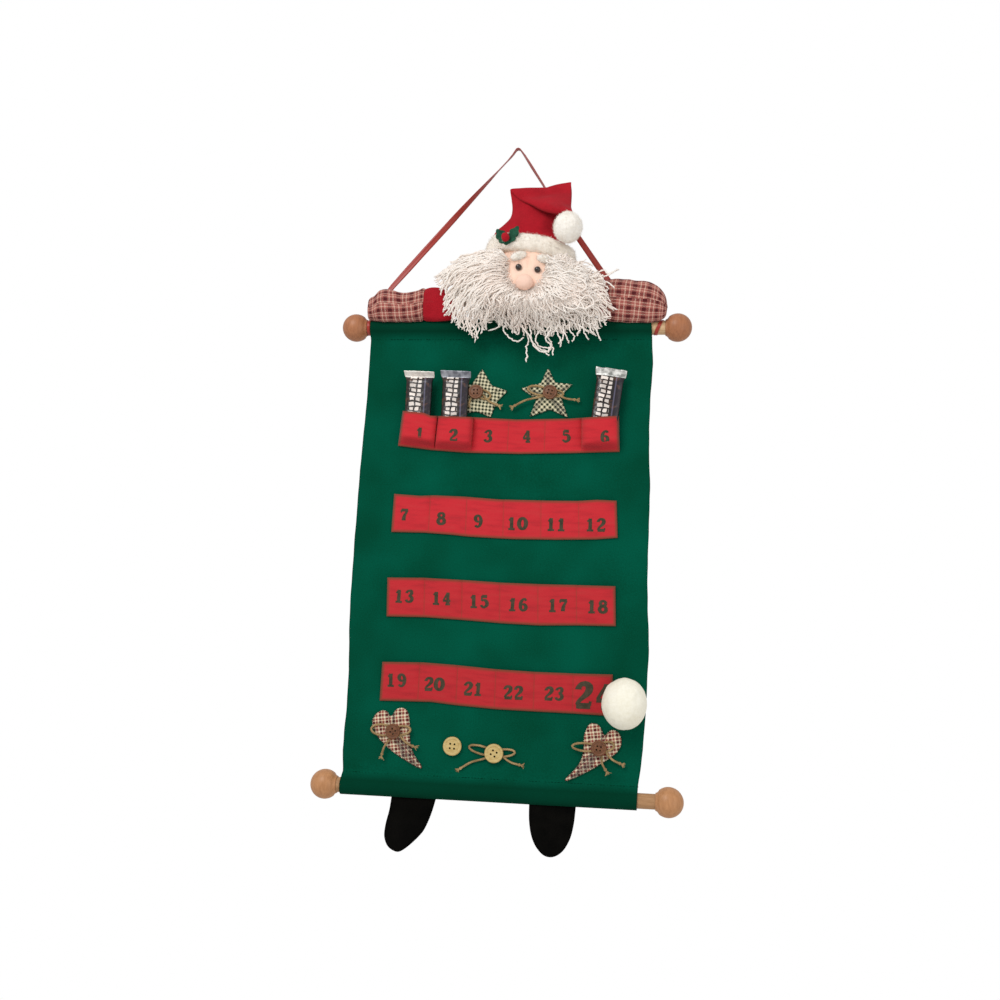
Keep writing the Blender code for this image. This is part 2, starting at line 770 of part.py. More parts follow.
# Rounded tip of the hat, about the point that the pompom swings on: height and half width in tip radii
tip_shares = ((1.6, 2.2), (0.0, 1.0), (-0.7, 0.7), (-1.0, 0.25))

# Hair and beard seen from the front, from the head's middle: across in beard widths, up in beard heights
beard_shares = (
    (-0.29, 0.3, "AUTO"),
    (-0.44, 0.19, "AUTO"),
    (-0.54, 0.02, "AUTO"),
    (-0.545, -0.18, "AUTO"),
    (-0.47, -0.33, "AUTO"),
    (-0.37, -0.4, "AUTO"),
    (-0.29, -0.5, "AUTO"),
    (-0.19, -0.46, "AUTO"),
    (-0.08, -0.55, "AUTO"),
    (0.01, -0.68, "AUTO"),
    (0.12, -0.65, "AUTO"),
    (0.22, -0.52, "AUTO"),
    (0.32, -0.51, "AUTO"),
    (0.41, -0.49, "AUTO"),
    (0.445, -0.28, "AUTO"),
    (0.45, -0.06, "AUTO"),
    (0.4, 0.12, "AUTO"),
    (0.29, 0.25, "AUTO"),
    (0.19, 0.23, "AUTO"),
)
# The opening in it for the face, and its upper left corner: across in head widths, up in head heights
face_opening_shares = (
    (0.281, 0.1, "AUTO"),
    (0.259, -0.125, "AUTO"),
    (0.14, -0.25, "AUTO"),
    (-0.022, -0.294, "AUTO"),
    (-0.184, -0.238, "AUTO"),
    (-0.27, -0.05, "AUTO"),
    (-0.281, 0.175, "AUTO"),
    (-0.41, 0.338, "AUTO"),
)


def beard():
    points = [(across * beard_width, up * beard_height, kind) for across, up, kind in beard_shares]
    points += [(across * head_width, up * head_height, kind) for across, up, kind in face_opening_shares]
    curve = outline("beard", [(points, True)], beard_depth / 2, beard_edge_radius, 2)
    made = as_mesh(add("beard", curve, white_yarn, (head_x, head_y - beard_forward, head_z), facing))
    rooms = [head_form("head_room_for_beard", seat_gap, cutters, None)]
    rooms.append(brim_form("brim_room_for_beard", seat_gap, cutters, None))
    combine(made, rooms, "DIFFERENCE")


# Places on the face, from the head's middle, as shares of half its width and half its height
nose_place_share = (-0.05, -0.28)
eye_place_share = (0.0, 0.115)
eye_lower_share = 0.07
brow_place_share = (0.02, 0.38)
brow_spread_share = 0.35


def face_point(across, up):
    """Point of the head's front surface at shares of its half width and half height."""
    ahead = math.sqrt(max(0.0, 1 - across**2 - up**2))
    return Vector((
        head_x + across * head_width / 2,
        head_y - ahead * head_depth / 2,
        head_z + up * head_height / 2,
    ))


def face():
    room = head_form("head_room", seat_gap, cutters, None)
    nose = ellipsoid("nose", (nose_width / 2, nose_depth / 2, nose_height / 2), 0.0, 16, 10)
    place = face_point(*nose_place_share) - Vector((0, nose_depth * nose_proud_share, 0))
    combine(add("nose", nose, skin_cloth, place), [room], "DIFFERENCE")
    brim_room = brim_form("brim_room_for_brows", seat_gap, cutters, None)
    for side, name in ((-1, "left"), (1, "right")):
        across = eye_place_share[0] + side * eye_spacing / head_width
        up = eye_place_share[1] - side * eye_lower_share / 2
        eye = ellipsoid("eye", (eye_diameter / 2,) * 3, 0.0, 12, 8)
        place = face_point(across, up) - Vector((0, eye_diameter * eye_proud_share, 0))
        combine(add(f"eye_{name}", eye, black_bead, place), [room], "DIFFERENCE")
        brow = ellipsoid("brow", (brow_length / 2, brow_thickness / 2, brow_thickness / 2), 0.0, 14, 8)
        across = brow_place_share[0] + side * brow_spread_share
        place = face_point(across, brow_place_share[1] - side * eye_lower_share / 2)
        turned = (0, side * math.radians(brow_turn_degrees), 0)
        made = add(f"eyebrow_{name}", brow, white_fleece, place, turned)
        combine(made, [room, brim_room], "DIFFERENCE")


nose_proud_share = 0.15
eye_proud_share = 0.15
brow_turn_degrees = 18

# Along an arm or mitten: place as a share of its length, swell and lift of its section in its radii
sleeve_left_shares = (
    (0.0, 0.5, -0.1),
    (0.03, 0.72, -0.05),
    (0.14, 0.93, 0.0),
    (0.32, 1.0, 0.0),
    (0.6, 0.93, 0.0),
    (0.85, 0.98, 0.0),
    (1.0, 0.9, 0.0),
)
sleeve_right_shares = (
    (0.0, 0.35, -0.2),
    (0.05, 0.68, -0.12),
    (0.2, 1.0, 0.05),
    (0.42, 1.12, 0.14),
    (0.7, 1.12, 0.3),
    (0.9, 1.16, 0.32),
    (1.0, 1.02, 0.3),
)
mitten_shares = (
    (0.0, 0.86, 0.0),
    (0.25, 0.97, 0.0),
    (0.55, 0.98, 0.0),
    (0.8, 0.8, 0.0),
    (0.95, 0.5, 0.0),
    (1.0, 0.25, 0.0),
)


def limb(name, surface, start, length, heading, shares, rise=0.0):
    """Stuffed tube along x from start, whose oval section swells and tapers."""
    rings = []
    for place, swell, lift in shares:
        x = start + heading * place * length
        ring = []
        for i in range(16):
            turn = 2 * math.pi * i / 16
            y = swell * arm_depth_radius * math.cos(turn)
            z = swell * arm_radius * math.sin(turn) + (lift + rise) * arm_radius
            ring.append((x, y, z))
        rings.append(ring)
    add(name, loft(name, rings), surface, (0, arm_y, arm_z))


def arms():
    left = -banner_width / 2 + sleeve_left_inset
    right = banner_width / 2 + sleeve_right_overhang
    limb("sleeve_left", plaid_cotton, left, sleeve_left_length, 1, sleeve_left_shares)
    limb("mitten_left", red_felt, left + sleeve_left_length + seat_gap, mitten_length, 1, mitten_shares)
    limb("sleeve_right", plaid_cotton, right, sleeve_right_length, -1, sleeve_right_shares)
    cuff = right - sleeve_right_length - seat_gap
    limb("mitten_right", red_felt, cuff, mitten_length, -1, mitten_shares, mitten_right_rise_share)


mitten_right_rise_share = 0.3


def holly_outline():
    """Leaf with scalloped sides, pointing along +x from its stalk."""
    upper = []
    steps = 12
    for i in range(1, steps):
        share = i / steps
        scallop = 1 - holly_scallop_share * (1 - abs(math.cos(3 * math.pi * share)))
        half_width = math.sin(math.pi * share) ** holly_blunt_share * scallop * holly_leaf_width / 2
        upper.append((share * holly_leaf_length, half_width))
    lower = [(x, -y) for x, y in reversed(upper)]
    return [(0, 0)] + upper + [(holly_leaf_length, 0)] + lower


def holly():
    """Two felt leaves that cross at their stalks, and a berry, glued to the front of the brim."""
    turn = math.radians(holly_turn_degrees)
    layer = holly_leaf_thickness + seat_gap
    proud = brim_thickness / 2 + layer - holly_leaf_thickness / 2
    spot = brim_point(turn, proud, brim_height * holly_lift_share)
    sideways = -math.cos(turn) * (brim_depth - brim_thickness)
    yaw = math.atan2(sideways, math.sin(turn) * (brim_width - brim_thickness))
    for forward, name, pitch in ((0, "left", 180 - holly_rise_degrees), (layer, "right", holly_rise_degrees)):
        curve = outline(name, [(holly_outline(), False)], holly_leaf_thickness / 2)
        made = add(f"holly_leaf_{name}", curve, holly_felt, spot)
        lean = Matrix.Rotation(-yaw, 4, "Z") @ Matrix.Rotation(math.pi / 2, 4, "X")
        spin = Matrix.Rotation(math.radians(pitch), 4, "Z")
        made.matrix_local = Matrix.Translation(spot) @ lean @ Matrix.Translation((0, 0, forward)) @ spin
    berry = ellipsoid("holly_berry", (holly_berry_diameter / 2,) * 3, 0.0, 12, 8)
    ahead = layer + holly_leaf_thickness / 2 + seat_gap + holly_berry_diameter / 2
    beside = Matrix.Rotation(-yaw, 4, "Z") @ Vector((0, -ahead, holly_berry_diameter * berry_lift_share))
    add("holly_berry", berry, red_felt, spot + beside)


holly_scallop_share = 0.3
holly_blunt_share = 0.7
holly_turn_degrees = 122
holly_lift_share = -0.48
berry_lift_share = 0.85
holly_rise_degrees = 55


# Up each leg of the ribbon from its neck: height share, place across as a share of the neck's, and its twist
# from flat to edge-on
left_leg_shares = (
    (0.05, 1.0, 0.0),
    (0.09, 0.99, 0.0),
    (0.16, 0.945, 0.0),
    (0.24, 0.868, 0.0),
    (0.43, 0.655, 0.0),
    (0.617, 0.444, 0.1),
    (0.75, 0.29, 0.45),
    (0.87, 0.15, 0.85),
    (0.97, 0.035, 1.0),
)
right_leg_shares = (
    (0.05, 1.0, 0.0),
    (0.11, 0.9, 0.0),
    (0.2, 0.735, 0.0),
    (0.32, 0.614, 0.0),
    (0.507, 0.443, 0.1),
    (0.66, 0.3, 0.4),
    (0.785, 0.19, 0.7),
    (0.9, 0.085, 0.95),
    (0.975, 0.02, 1.0),
)
right_bunch_share = 0.7
right_slant_share = 0.3
widening_share = 3.0


def finer(leg_shares):
    """The same leg in short steps, so that the thin ribbon turns only a few degrees from one to the next."""
    places = [leg_shares[0]]
    for near, far in zip(leg_shares, leg_shares[1:]):
        steps = max(1, round(abs(far[2] - near[2]) / ribbon_twist_step_share))
        for i in range(1, steps + 1):
            places.append(tuple(a + (b - a) * i / steps for a, b in zip(near, far)))
    return places


ribbon_twist_step_share = 0.06


def ribbon_leg(neck, bunched, slant, leg_shares):
    """Stations (place, width direction, width): from the end, round the rod's neck and up to the nail."""
    side = math.copysign(1, neck)
    stations = []
    for i in range(ribbon_turn_steps + 1):
        share = i / ribbon_turn_steps
        turn = math.radians(ribbon_turn_degrees) * (1 - share)
        x = neck + side * slant * (0.5 - share)
        spot = Vector((x, hang_setback * math.cos(turn), -hang_setback * math.sin(turn)))
        stations.append((spot, Vector((1, 0, 0)), bunched))
    foot = stations[-1][0].x
    along = Vector((-foot, 0, hang_height)).normalized()
    in_plane = Vector((along.z, 0, -along.x))
    for share, across_share, twist in finer(leg_shares):
        turn = twist * math.pi / 2
        across = in_plane * math.cos(turn) + Vector((0, 1, 0)) * math.sin(turn)
        width = bunched + (ribbon_width - bunched) * min(1.0, share * widening_share)
        stations.append((Vector((foot * across_share, hang_setback, hang_height * share)), across, width))
    shoulder = Vector((side * ribbon_nail_radius, hang_setback, hang_height - ribbon_nail_radius / 2))
    stations.append((shoulder, Vector((0, 1, 0)), ribbon_width))
    return stations


def ribbon():
    """One length of satin ribbon: a turn round each neck of the top rod, and a leg from each to the nail."""
    left_neck = -banner_width / 2 - seat_gap - ribbon_bunched_width / 2
    right_neck = banner_width / 2 + top_neck_right / 2
    left = ribbon_leg(left_neck, ribbon_bunched_width, 0.0, left_leg_shares)
    slant = top_neck_right * right_slant_share
    right = ribbon_leg(right_neck, ribbon_width * right_bunch_share, slant, right_leg_shares)
    peak = Vector((0, hang_setback, hang_height + ribbon_thickness / 2))
    path = left + [(peak, Vector((0, 1, 0)), ribbon_width)] + list(reversed(right))
    rings = []
    for i, (spot, across, width) in enumerate(path):
        before = path[max(i - 1, 0)][0]
        after = path[min(i + 1, len(path) - 1)][0]
        along = (after - before).normalized()
        across = (across - along * across.dot(along)).normalized()
        outward = along.cross(across)
        ring = []
        for wide, thick in ((1, 1), (-1, 1), (-1, -1), (1, -1)):
            ring.append(spot + across * wide * width / 2 + outward * thick * ribbon_thickness / 2)
        rings.append(ring)
    mesh = loft("hanger_ribbon", rings)
    split = bmesh.new()
    split.from_mesh(mesh)
    bmesh.ops.triangulate(split, faces=split.faces, quad_method="FIXED")
    split.to_mesh(mesh)
    split.free()
    add("hanger_ribbon", mesh, red_satin)


wooden_rod("top", top_neck_left, top_neck_right, 0)
wooden_rod("bottom", bottom_neck_left, bottom_neck_right, rod_spacing)
banner()
for row in range(rows):
    pocket_strip(row)
for number in filled_pockets:
    wrapped_bar(number)

stars()
hearts()
pale_buttons()
snowball()
boot("boot_left", boot_left_x, boot_left_shares)
boot("boot_right", boot_right_x, boot_right_shares)
head_form("head", 0.0, parts, skin_cloth)
brim = brim_form("hat_brim", 0.0, parts, white_fleece)
combine(brim, [head_form("head_room_for_brim", seat_gap, cutters, None)], "DIFFERENCE")
hat()
beard()
face()
arms()
holly()
ribbon()
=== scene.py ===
import math
import random

import bmesh
import bpy
from mathutils import Euler, Matrix, Vector, noise


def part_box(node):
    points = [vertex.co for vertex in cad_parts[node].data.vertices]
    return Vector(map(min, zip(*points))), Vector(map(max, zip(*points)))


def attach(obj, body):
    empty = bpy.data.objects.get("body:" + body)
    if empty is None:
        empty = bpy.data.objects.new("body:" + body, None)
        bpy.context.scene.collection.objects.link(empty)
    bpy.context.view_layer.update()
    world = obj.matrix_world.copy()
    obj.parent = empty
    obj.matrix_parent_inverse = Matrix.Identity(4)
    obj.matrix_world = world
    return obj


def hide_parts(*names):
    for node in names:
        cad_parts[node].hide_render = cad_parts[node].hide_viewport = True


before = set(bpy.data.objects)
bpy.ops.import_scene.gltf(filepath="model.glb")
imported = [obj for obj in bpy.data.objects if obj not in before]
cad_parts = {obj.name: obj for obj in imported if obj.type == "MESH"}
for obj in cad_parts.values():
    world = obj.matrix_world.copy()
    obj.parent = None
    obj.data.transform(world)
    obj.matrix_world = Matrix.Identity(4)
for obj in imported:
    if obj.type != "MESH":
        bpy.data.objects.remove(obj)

mm = 0.001
bpy.context.view_layer.update()
rodLow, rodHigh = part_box("top_rod")
rodY, rodZ = (rodLow.y + rodHigh.y) / 2, (rodLow.z + rodHigh.z) / 2


def at(x, y, z):
    # millimetres from the middle of the top rod, as metres in the frame
    return Vector((x * mm, rodY + y * mm, rodZ + z * mm))


print("Stage 1: camera, lights and floor")

viewSettings = {
    "cameraPlace": (166.636, -1187.729, -392.795),  # fitted to the rods, balls and corners of the cloth
    "cameraTurn": (9.72495, -2.45584, 7.68656),
    "cameraLens": 41.94,
    "floorDrop": 1.85,  # the nail is at about a tall person's height
    "floorSize": 6.0,
    "skyStrength": 0.62,
    # each light's place, power in watts, size, and the place it is aimed at
    "lights": {
        "keyLight": ((-0.75, -1.6, 0.7), 20.0, 0.9, (0, 0, -0.3)),
        "fillLight": ((1.3, -1.2, -0.5), 6.0, 1.4, (0, 0, -0.4)),
    },
}


def hexColour(code):
    channels = [int(code[i:i + 2], 16) / 255 for i in (1, 3, 5)]
    linear = [c / 12.92 if c <= 0.04045 else ((c + 0.055) / 1.055) ** 2.4 for c in channels]
    return (*linear, 1.0)


def addNode(tree, kind, links=None, ramp=None, **settings):
    # one node with its settings; links gives each input a value or another node's socket
    node = tree.nodes.new("ShaderNode" + kind)
    for name, value in settings.items():
        setattr(node, name, value)
    for name, value in (links or {}).items():
        if isinstance(value, bpy.types.NodeSocket):
            tree.links.new(value, node.inputs[name])
        else:
            node.inputs[name].default_value = value
    if ramp:
        stops = node.color_ramp.elements
        while len(stops) < len(ramp):
            stops.new(1.0)
        for stop, (place, colour) in zip(stops, ramp):
            stop.position = place
            stop.color = hexColour(colour)
    return node


def startMaterial(name, sockets):
    # a new material with its constant values set, its tree and its shader
    material = bpy.data.materials.new(name)
    material.use_nodes = True
    shader = material.node_tree.nodes["Principled BSDF"]
    for socket, value in sockets.items():
        shader.inputs[socket].default_value = value
    return material, material.node_tree, shader


def addLight(name, place, power, size, aim):
    lamp = bpy.data.lights.new(name, "AREA")
    lamp.energy = power
    lamp.size = size
    holder = bpy.data.objects.new(name, lamp)
    bpy.context.scene.collection.objects.link(holder)
    holder.location = place
    holder.rotation_euler = (Vector(aim) - Vector(place)).to_track_quat("-Z", "Y").to_euler()


def asMesh(name, bm):
    mesh = bpy.data.meshes.new(name)
    bm.to_mesh(mesh)
    bm.free()
    return mesh


lens = bpy.data.cameras.new("camera")
lens.lens = viewSettings["cameraLens"]
lens.sensor_width = 36.0
camera = bpy.data.objects.new("camera", lens)
bpy.context.scene.collection.objects.link(camera)
tilt = Euler([math.radians(angle) for angle in viewSettings["cameraTurn"]]).to_matrix()
aimed = (tilt @ Matrix.Rotation(math.pi / 2, 3, "X")).to_4x4()
camera.matrix_world = Matrix.Translation(at(*viewSettings["cameraPlace"])) @ aimed
bpy.context.scene.camera = camera
bpy.context.scene.view_settings.view_transform = "Standard"

for name, light in viewSettings["lights"].items():
    addLight(name, *light)

sky = bpy.data.worlds.new("paleRoom")
sky.use_nodes = True
bpy.context.scene.world = sky
skyTree = sky.node_tree
skyLight = skyTree.nodes["Background"]
skyLight.inputs["Color"].default_value = (1, 1, 1, 1)
skyLight.inputs["Strength"].default_value = viewSettings["skyStrength"]
seenSky = addNode(skyTree, "Background", {"Color": (1, 1, 1, 1), "Strength": 1.0})
straight = addNode(skyTree, "LightPath")
chooser = addNode(skyTree, "MixShader", {0: straight.outputs["Is Camera Ray"]})
skyTree.links.new(skyLight.outputs[0], chooser.inputs[1])
skyTree.links.new(seenSky.outputs[0], chooser.inputs[2])
skyTree.links.new(chooser.outputs[0], skyTree.nodes["World Output"].inputs["Surface"])

floorPaint = startMaterial("paleFloorPaint", {"Roughness": 0.9, "Base Color": hexColour("#F4F2EF")})[0]
bm = bmesh.new()
bmesh.ops.create_grid(bm, x_segments=1, y_segments=1, size=viewSettings["floorSize"] / 2)
bmesh.ops.translate(bm, verts=bm.verts, vec=(0, 0, -viewSettings["floorDrop"]))
floor = bpy.data.objects.new("floor", asMesh("floor", bm))
floor.data.materials.append(floorPaint)
bpy.context.scene.collection.objects.link(floor)


def addPiece(name, mesh, finishes, body, node=None, slotName=None):
    # puts a finished mesh in the scene, in place already, and makes it ride on its body
    if isinstance(mesh, bmesh.types.BMesh):
        mesh = asMesh(name, mesh)
    for finish in finishes:
        mesh.materials.append(finish)
    mesh.shade_smooth()
    piece = bpy.data.objects.new(name, mesh)
    bpy.context.scene.collection.objects.link(piece)
    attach(piece, body)
    if node:
        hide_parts(node)
    return piece


def nodeName(name):
    # starButtonLeft takes the place of the node star_button_left
    return "".join("_" + letter.lower() if letter.isupper() else letter for letter in name)


def bentGrid(across, along, size, place, closed=False, capped=False):
    # a flat grid whose UV map is its own cloth in metres, bent into shape by place(u, v); a closed one is
    # joined along its sides, and a capped one is filled at its ends as well
    bm = bmesh.new()
    bmesh.ops.create_grid(bm, x_segments=across, y_segments=along, size=0.5)
    cloth = bm.loops.layers.uv.new("cloth")
    for face in bm.faces:
        for loop in face.loops:
            loop[cloth].uv = ((loop.vert.co.x + 0.5) * size[0] * mm, (loop.vert.co.y + 0.5) * size[1] * mm)
    for vert in bm.verts:
        vert.co = place(vert.co.x + 0.5, vert.co.y + 0.5)
    if closed or capped:
        bmesh.ops.remove_doubles(bm, verts=bm.verts, dist=0.002 * mm)
        if capped:
            bmesh.ops.holes_fill(bm, edges=bm.edges, sides=0)
        bmesh.ops.recalc_face_normals(bm, faces=bm.faces)
    return bm


def roundMesh(middle, radii, swell, turnDegrees=0.0, subdivisions=6):
    # a ball with its own three radii in mm; swell(n) draws each place in or out
    bm = bmesh.new()
    bmesh.ops.create_icosphere(bm, subdivisions=subdivisions, radius=1.0)
    turn = Matrix.Rotation(math.radians(turnDegrees), 3, "Y")
    for vert in bm.verts:
        n = vert.co.copy()
        reach = swell(n)
        out = turn @ Vector([radius * c * reach for radius, c in zip(radii, n)])
        vert.co = at(*(m + c for m, c in zip(middle, out)))
    return bm


def tubeMesh(name, paths, radius):
    # four-sided strands along paths of points in metres; a fourth number on a point swells the strand there
    curve = bpy.data.curves.new(name, "CURVE")
    curve.dimensions = "3D"
    curve.bevel_depth = radius
    curve.bevel_resolution = 0
    curve.use_fill_caps = True
    for path in paths:
        line = curve.splines.new("POLY")
        line.points.add(len(path) - 1)
        line.points.foreach_set("co", [n for point in path for n in (*point[:3], 1.0)])
        line.points.foreach_set("radius", [point[3] if len(point) > 3 else 1.0 for point in path])
    holder = bpy.data.objects.new(name, curve)
    mesh = bpy.data.meshes.new_from_object(holder)
    bpy.data.objects.remove(holder)
    bpy.data.curves.remove(curve)
    return mesh


def thicken(piece, thickness):
    # gives a sheet its thickness in mm, half of it on each side
    shell = piece.modifiers.new("thickness", "SOLIDIFY")
    shell.thickness = thickness * mm
    shell.offset = 0.0


def paintPoints(piece, name, values):
    # a value at every point, for the piece's material to read
    piece.data.attributes.new(name, "FLOAT", "POINT").data.foreach_set("value", values)


def easeBetween(points, place):
    # value at a place in a table of (place, value), moving evenly from row to row
    if place <= points[0][0]:
        return points[0][1]
    for (x0, y0), (x1, y1) in zip(points, points[1:]):
        if place <= x1:
            return y0 + (y1 - y0) * (place - x0) / (x1 - x0)
    return points[-1][1]


def smoothStep(t):
    t = min(1.0, max(0.0, t))
    return t * t * (3 - 2 * t)


def roundedPath(points, steps):
    # a smooth line through the points, with this many steps from each to the next
    line = []
    for i in range(len(points) - 1):
        p0, p1, p2, p3 = (Vector(points[min(max(i + k, 0), len(points) - 1)]) for k in (-1, 0, 1, 2))
        for k in range(steps):
            t = k / steps
            bend = (p1 * 2 + (p2 - p0) * t + (p0 * 2 - p1 * 5 + p2 * 4 - p3) * t * t
                    + (p1 * 3 - p0 - p2 * 3 + p3) * t ** 3) / 2
            line.append(bend)
    line.append(Vector(points[-1]))
    return line


def pathLength(points):
    return sum((Vector(b[:3]) - Vector(a[:3])).length for a, b in zip(points, points[1:]))


print("Stage 2: materials")


def finishSurface(tree, shader, colour, height, strength, depthMm):
    # a material's colour, and the fine relief that catches the light
    tree.links.new(colour, shader.inputs["Base Color"])
    relief = addNode(tree, "Bump", {"Height": height, "Strength": strength, "Distance": depthMm * mm})
    tree.links.new(relief.outputs[0], shader.inputs["Normal"])


def dyedCloth(name, light, dark, fibreMm, patchMm, roughness, sheen, bump, gloss, softness=0.0):
    # dyed cotton or felt: the shade wanders a little over broad patches and from fibre to fibre,
    # and light goes a little way into soft white wool
    material, tree, shader = startMaterial(name, {
        "Roughness": roughness, "Specular IOR Level": gloss, "Sheen Weight": sheen, "Sheen Roughness": 0.6,
        "Subsurface Weight": softness, "Subsurface Radius": (0.005, 0.005, 0.005), "Subsurface Scale": 1.0})
    place = addNode(tree, "TexCoord").outputs["Object"]
    patches = addNode(tree, "TexNoise", {"Vector": place, "Scale": 1000 / patchMm, "Detail": 2.0})
    fibres = addNode(
        tree, "TexNoise", {"Vector": place, "Scale": 1000 / fibreMm, "Detail": 5.0, "Roughness": 0.7})
    both = addNode(tree, "Mix", {0: 0.55, 2: patches.outputs[0], 3: fibres.outputs[0]})
    shade = addNode(tree, "ValToRGB", {0: both.outputs[0]}, ramp=((0.36, dark), (0.62, light)))
    finishSurface(tree, shader, shade.outputs[0], fibres.outputs[0], bump, 0.5)
    return material


def wovenCheck(name, across, up, threadMm, turn):
    # cotton woven in checks: coloured bands of warp and weft, each a period in mm and its bands' shades,
    # and where two bands cross the eye sees both threads; the threads run a little out of line
    material, tree, shader = startMaterial(
        name, {"Roughness": 0.92, "Specular IOR Level": 0.15, "Sheen Weight": 0.1, "Sheen Roughness": 0.6})
    place = addNode(tree, "TexCoord").outputs["UV"]
    wander = addNode(tree, "TexNoise", {"Vector": place, "Scale": 1000 / 9, "Detail": 1.0})
    loose = addNode(tree, "VectorMath", {0: wander.outputs[1], 1: (0.5, 0.5, 0.5)}, operation="SUBTRACT")
    shift = addNode(tree, "VectorMath", {0: loose.outputs[0], 3: 1.2 * mm}, operation="SCALE")
    bent = addNode(tree, "VectorMath", {0: place, 1: shift.outputs[0]}, operation="ADD")
    turned = addNode(tree, "Mapping", {"Vector": bent.outputs[0], "Rotation": (0, 0, math.radians(turn))})
    axes = addNode(tree, "SeparateXYZ", {0: turned.outputs[0]})
    shades = []
    for axis, (period, bands) in enumerate((across, up)):
        spread = addNode(tree, "Math", {0: axes.outputs[axis], 1: 1000 / period}, operation="MULTIPLY")
        share = addNode(tree, "Math", {0: spread.outputs[0]}, operation="FRACT")
        ramp = addNode(tree, "ValToRGB", {0: share.outputs[0]}, ramp=bands)
        ramp.color_ramp.interpolation = "CONSTANT"
        shades.append(ramp.outputs[0])
    threads = addNode(tree, "TexChecker", {"Vector": turned.outputs[0], "Scale": 1000 / threadMm})
    share = addNode(tree, "Mix", {0: threads.outputs[1], 2: 0.36, 3: 0.64})
    woven = addNode(tree, "Mix", {0: share.outputs[0], 6: shades[0], 7: shades[1]}, data_type="RGBA")
    finishSurface(tree, shader, woven.outputs[2], threads.outputs[1], 0.3, 0.2)
    return material


def turnedWood(name, light, dark, grainMm, stretch, roughness):
    # sanded and lightly stained wood: long streaks along the grain, a dull shine
    material, tree, shader = startMaterial(name, {"Roughness": roughness, "Specular IOR Level": 0.35})
    place = addNode(tree, "TexCoord").outputs["Object"]
    along = addNode(tree, "Mapping", {"Vector": place, "Scale": stretch})
    streaks = addNode(tree, "TexNoise", {
        "Vector": along.outputs[0], "Scale": 1000 / grainMm, "Detail": 6.0, "Distortion": 0.6})
    shade = addNode(tree, "ValToRGB", {0: streaks.outputs[0]}, ramp=((0.32, dark), (0.66, light)))
    finishSurface(tree, shader, shade.outputs[0], streaks.outputs[0], 0.15, 0.2)
    return material


# brushed green cotton of the banner: broad dull patches, and painted shade on both sleeves round the rods
greenCotton, greenTree, greenShader = startMaterial(
    "brushedGreenCotton", {"Roughness": 0.97, "Specular IOR Level": 0.05})
greenPlace = addNode(greenTree, "TexCoord").outputs["Object"]
greenPatches = addNode(greenTree, "TexNoise", {"Vector": greenPlace, "Scale": 1000 / 60, "Detail": 2.0})
greenFibres = addNode(greenTree, "TexNoise", {"Vector": greenPlace, "Scale": 1000 / 1.2, "Detail": 5.0})
greenBoth = addNode(greenTree, "Mix", {0: 0.45, 2: greenPatches.outputs[0], 3: greenFibres.outputs[0]})
greenShade = addNode(
    greenTree, "ValToRGB", {0: greenBoth.outputs[0]}, ramp=((0.36, "#00422E"), (0.64, "#005440")))
# painted shade: the colour is darkened on the sleeves where they wrap the rods
greenSleeveShade = addNode(greenTree, "Attribute", attribute_name="paintedSleeveShade")
greenDark = addNode(
    greenTree, "Mix", {0: greenSleeveShade.outputs["Fac"], 6: greenShade.outputs[0], 7: hexColour("#00301F")},
    data_type="RGBA")
finishSurface(greenTree, greenShader, greenDark.outputs[2], greenFibres.outputs[0], 0.3, 0.5)

# light and dark shade, size of the fibres and of the patches in mm, roughness, sheen, relief, gloss
redFelt = dyedCloth("redWoolFelt", "#B21C29", "#8E141E", 1.0, 26, 0.97, 0.04, 0.5, 0.05)
blackFelt = dyedCloth("blackWoolFelt", "#0E0D0B", "#040404", 1.0, 20, 0.97, 0.0, 0.5, 0.03)
hollyFelt = dyedCloth("darkGreenFelt", "#2C6049", "#143427", 1.0, 7, 0.97, 0.05, 0.5, 0.05)
brimFleece = dyedCloth("creamFleece", "#F8F0E5", "#DED4C6", 2.4, 16, 1.0, 0.1, 0.9, 0.05, softness=0.2)
browFleece = dyedCloth("whiteFleece", "#FFFAF2", "#F4EADD", 2.0, 10, 1.0, 0.1, 0.9, 0.05, softness=0.5)
ballFleece = dyedCloth("creamBallFelt", "#F9F5E6", "#EEE8D3", 2.6, 22, 1.0, 0.05, 0.5, 0.05)
pompomWool = dyedCloth("whitePompomWool", "#FCF8F1", "#ECE5DA", 2.0, 12, 1.0, 0.08, 0.6, 0.05)
whiteYarn = dyedCloth("whiteChenilleYarn", "#FFF8F0", "#FAEBE0", 1.8, 30, 0.95, 0.1, 0.5, 0.05, softness=0.15)
# the pad under the beard's strands has a darker yarn colour: painted shade in the gaps between strands
innerYarnPaintedShade = dyedCloth("innerYarnWithPaintedShade", "#F6E8DE", "#D8C6BA", 1.8, 20, 0.98, 0.0, 0.9, 0.02, softness=0.1)
skinCloth = dyedCloth("peachKnitCloth", "#FCD9C4", "#F3CDB8", 0.9, 14, 0.9, 0.05, 0.3, 0.15)
noseCloth = dyedCloth("rosyKnitCloth", "#F9D5C2", "#EFC6B2", 0.9, 12, 0.88, 0.05, 0.3, 0.2)
sewingThread = dyedCloth("greenSewingThread", "#003523", "#002416", 0.6, 10, 0.9, 0.0, 0.3, 0.02)
juteTwine = dyedCloth("juteTwine", "#BFA274", "#846A45", 0.7, 9, 0.95, 0.05, 0.9, 0.1)
# printed digits: dark grey-green fabric paint that has sunk into the weave
digitPaint = dyedCloth("greyGreenFabricPaint", "#524A3C", "#3A382C", 1.2, 5, 0.9, 0.0, 0.5, 0.03)

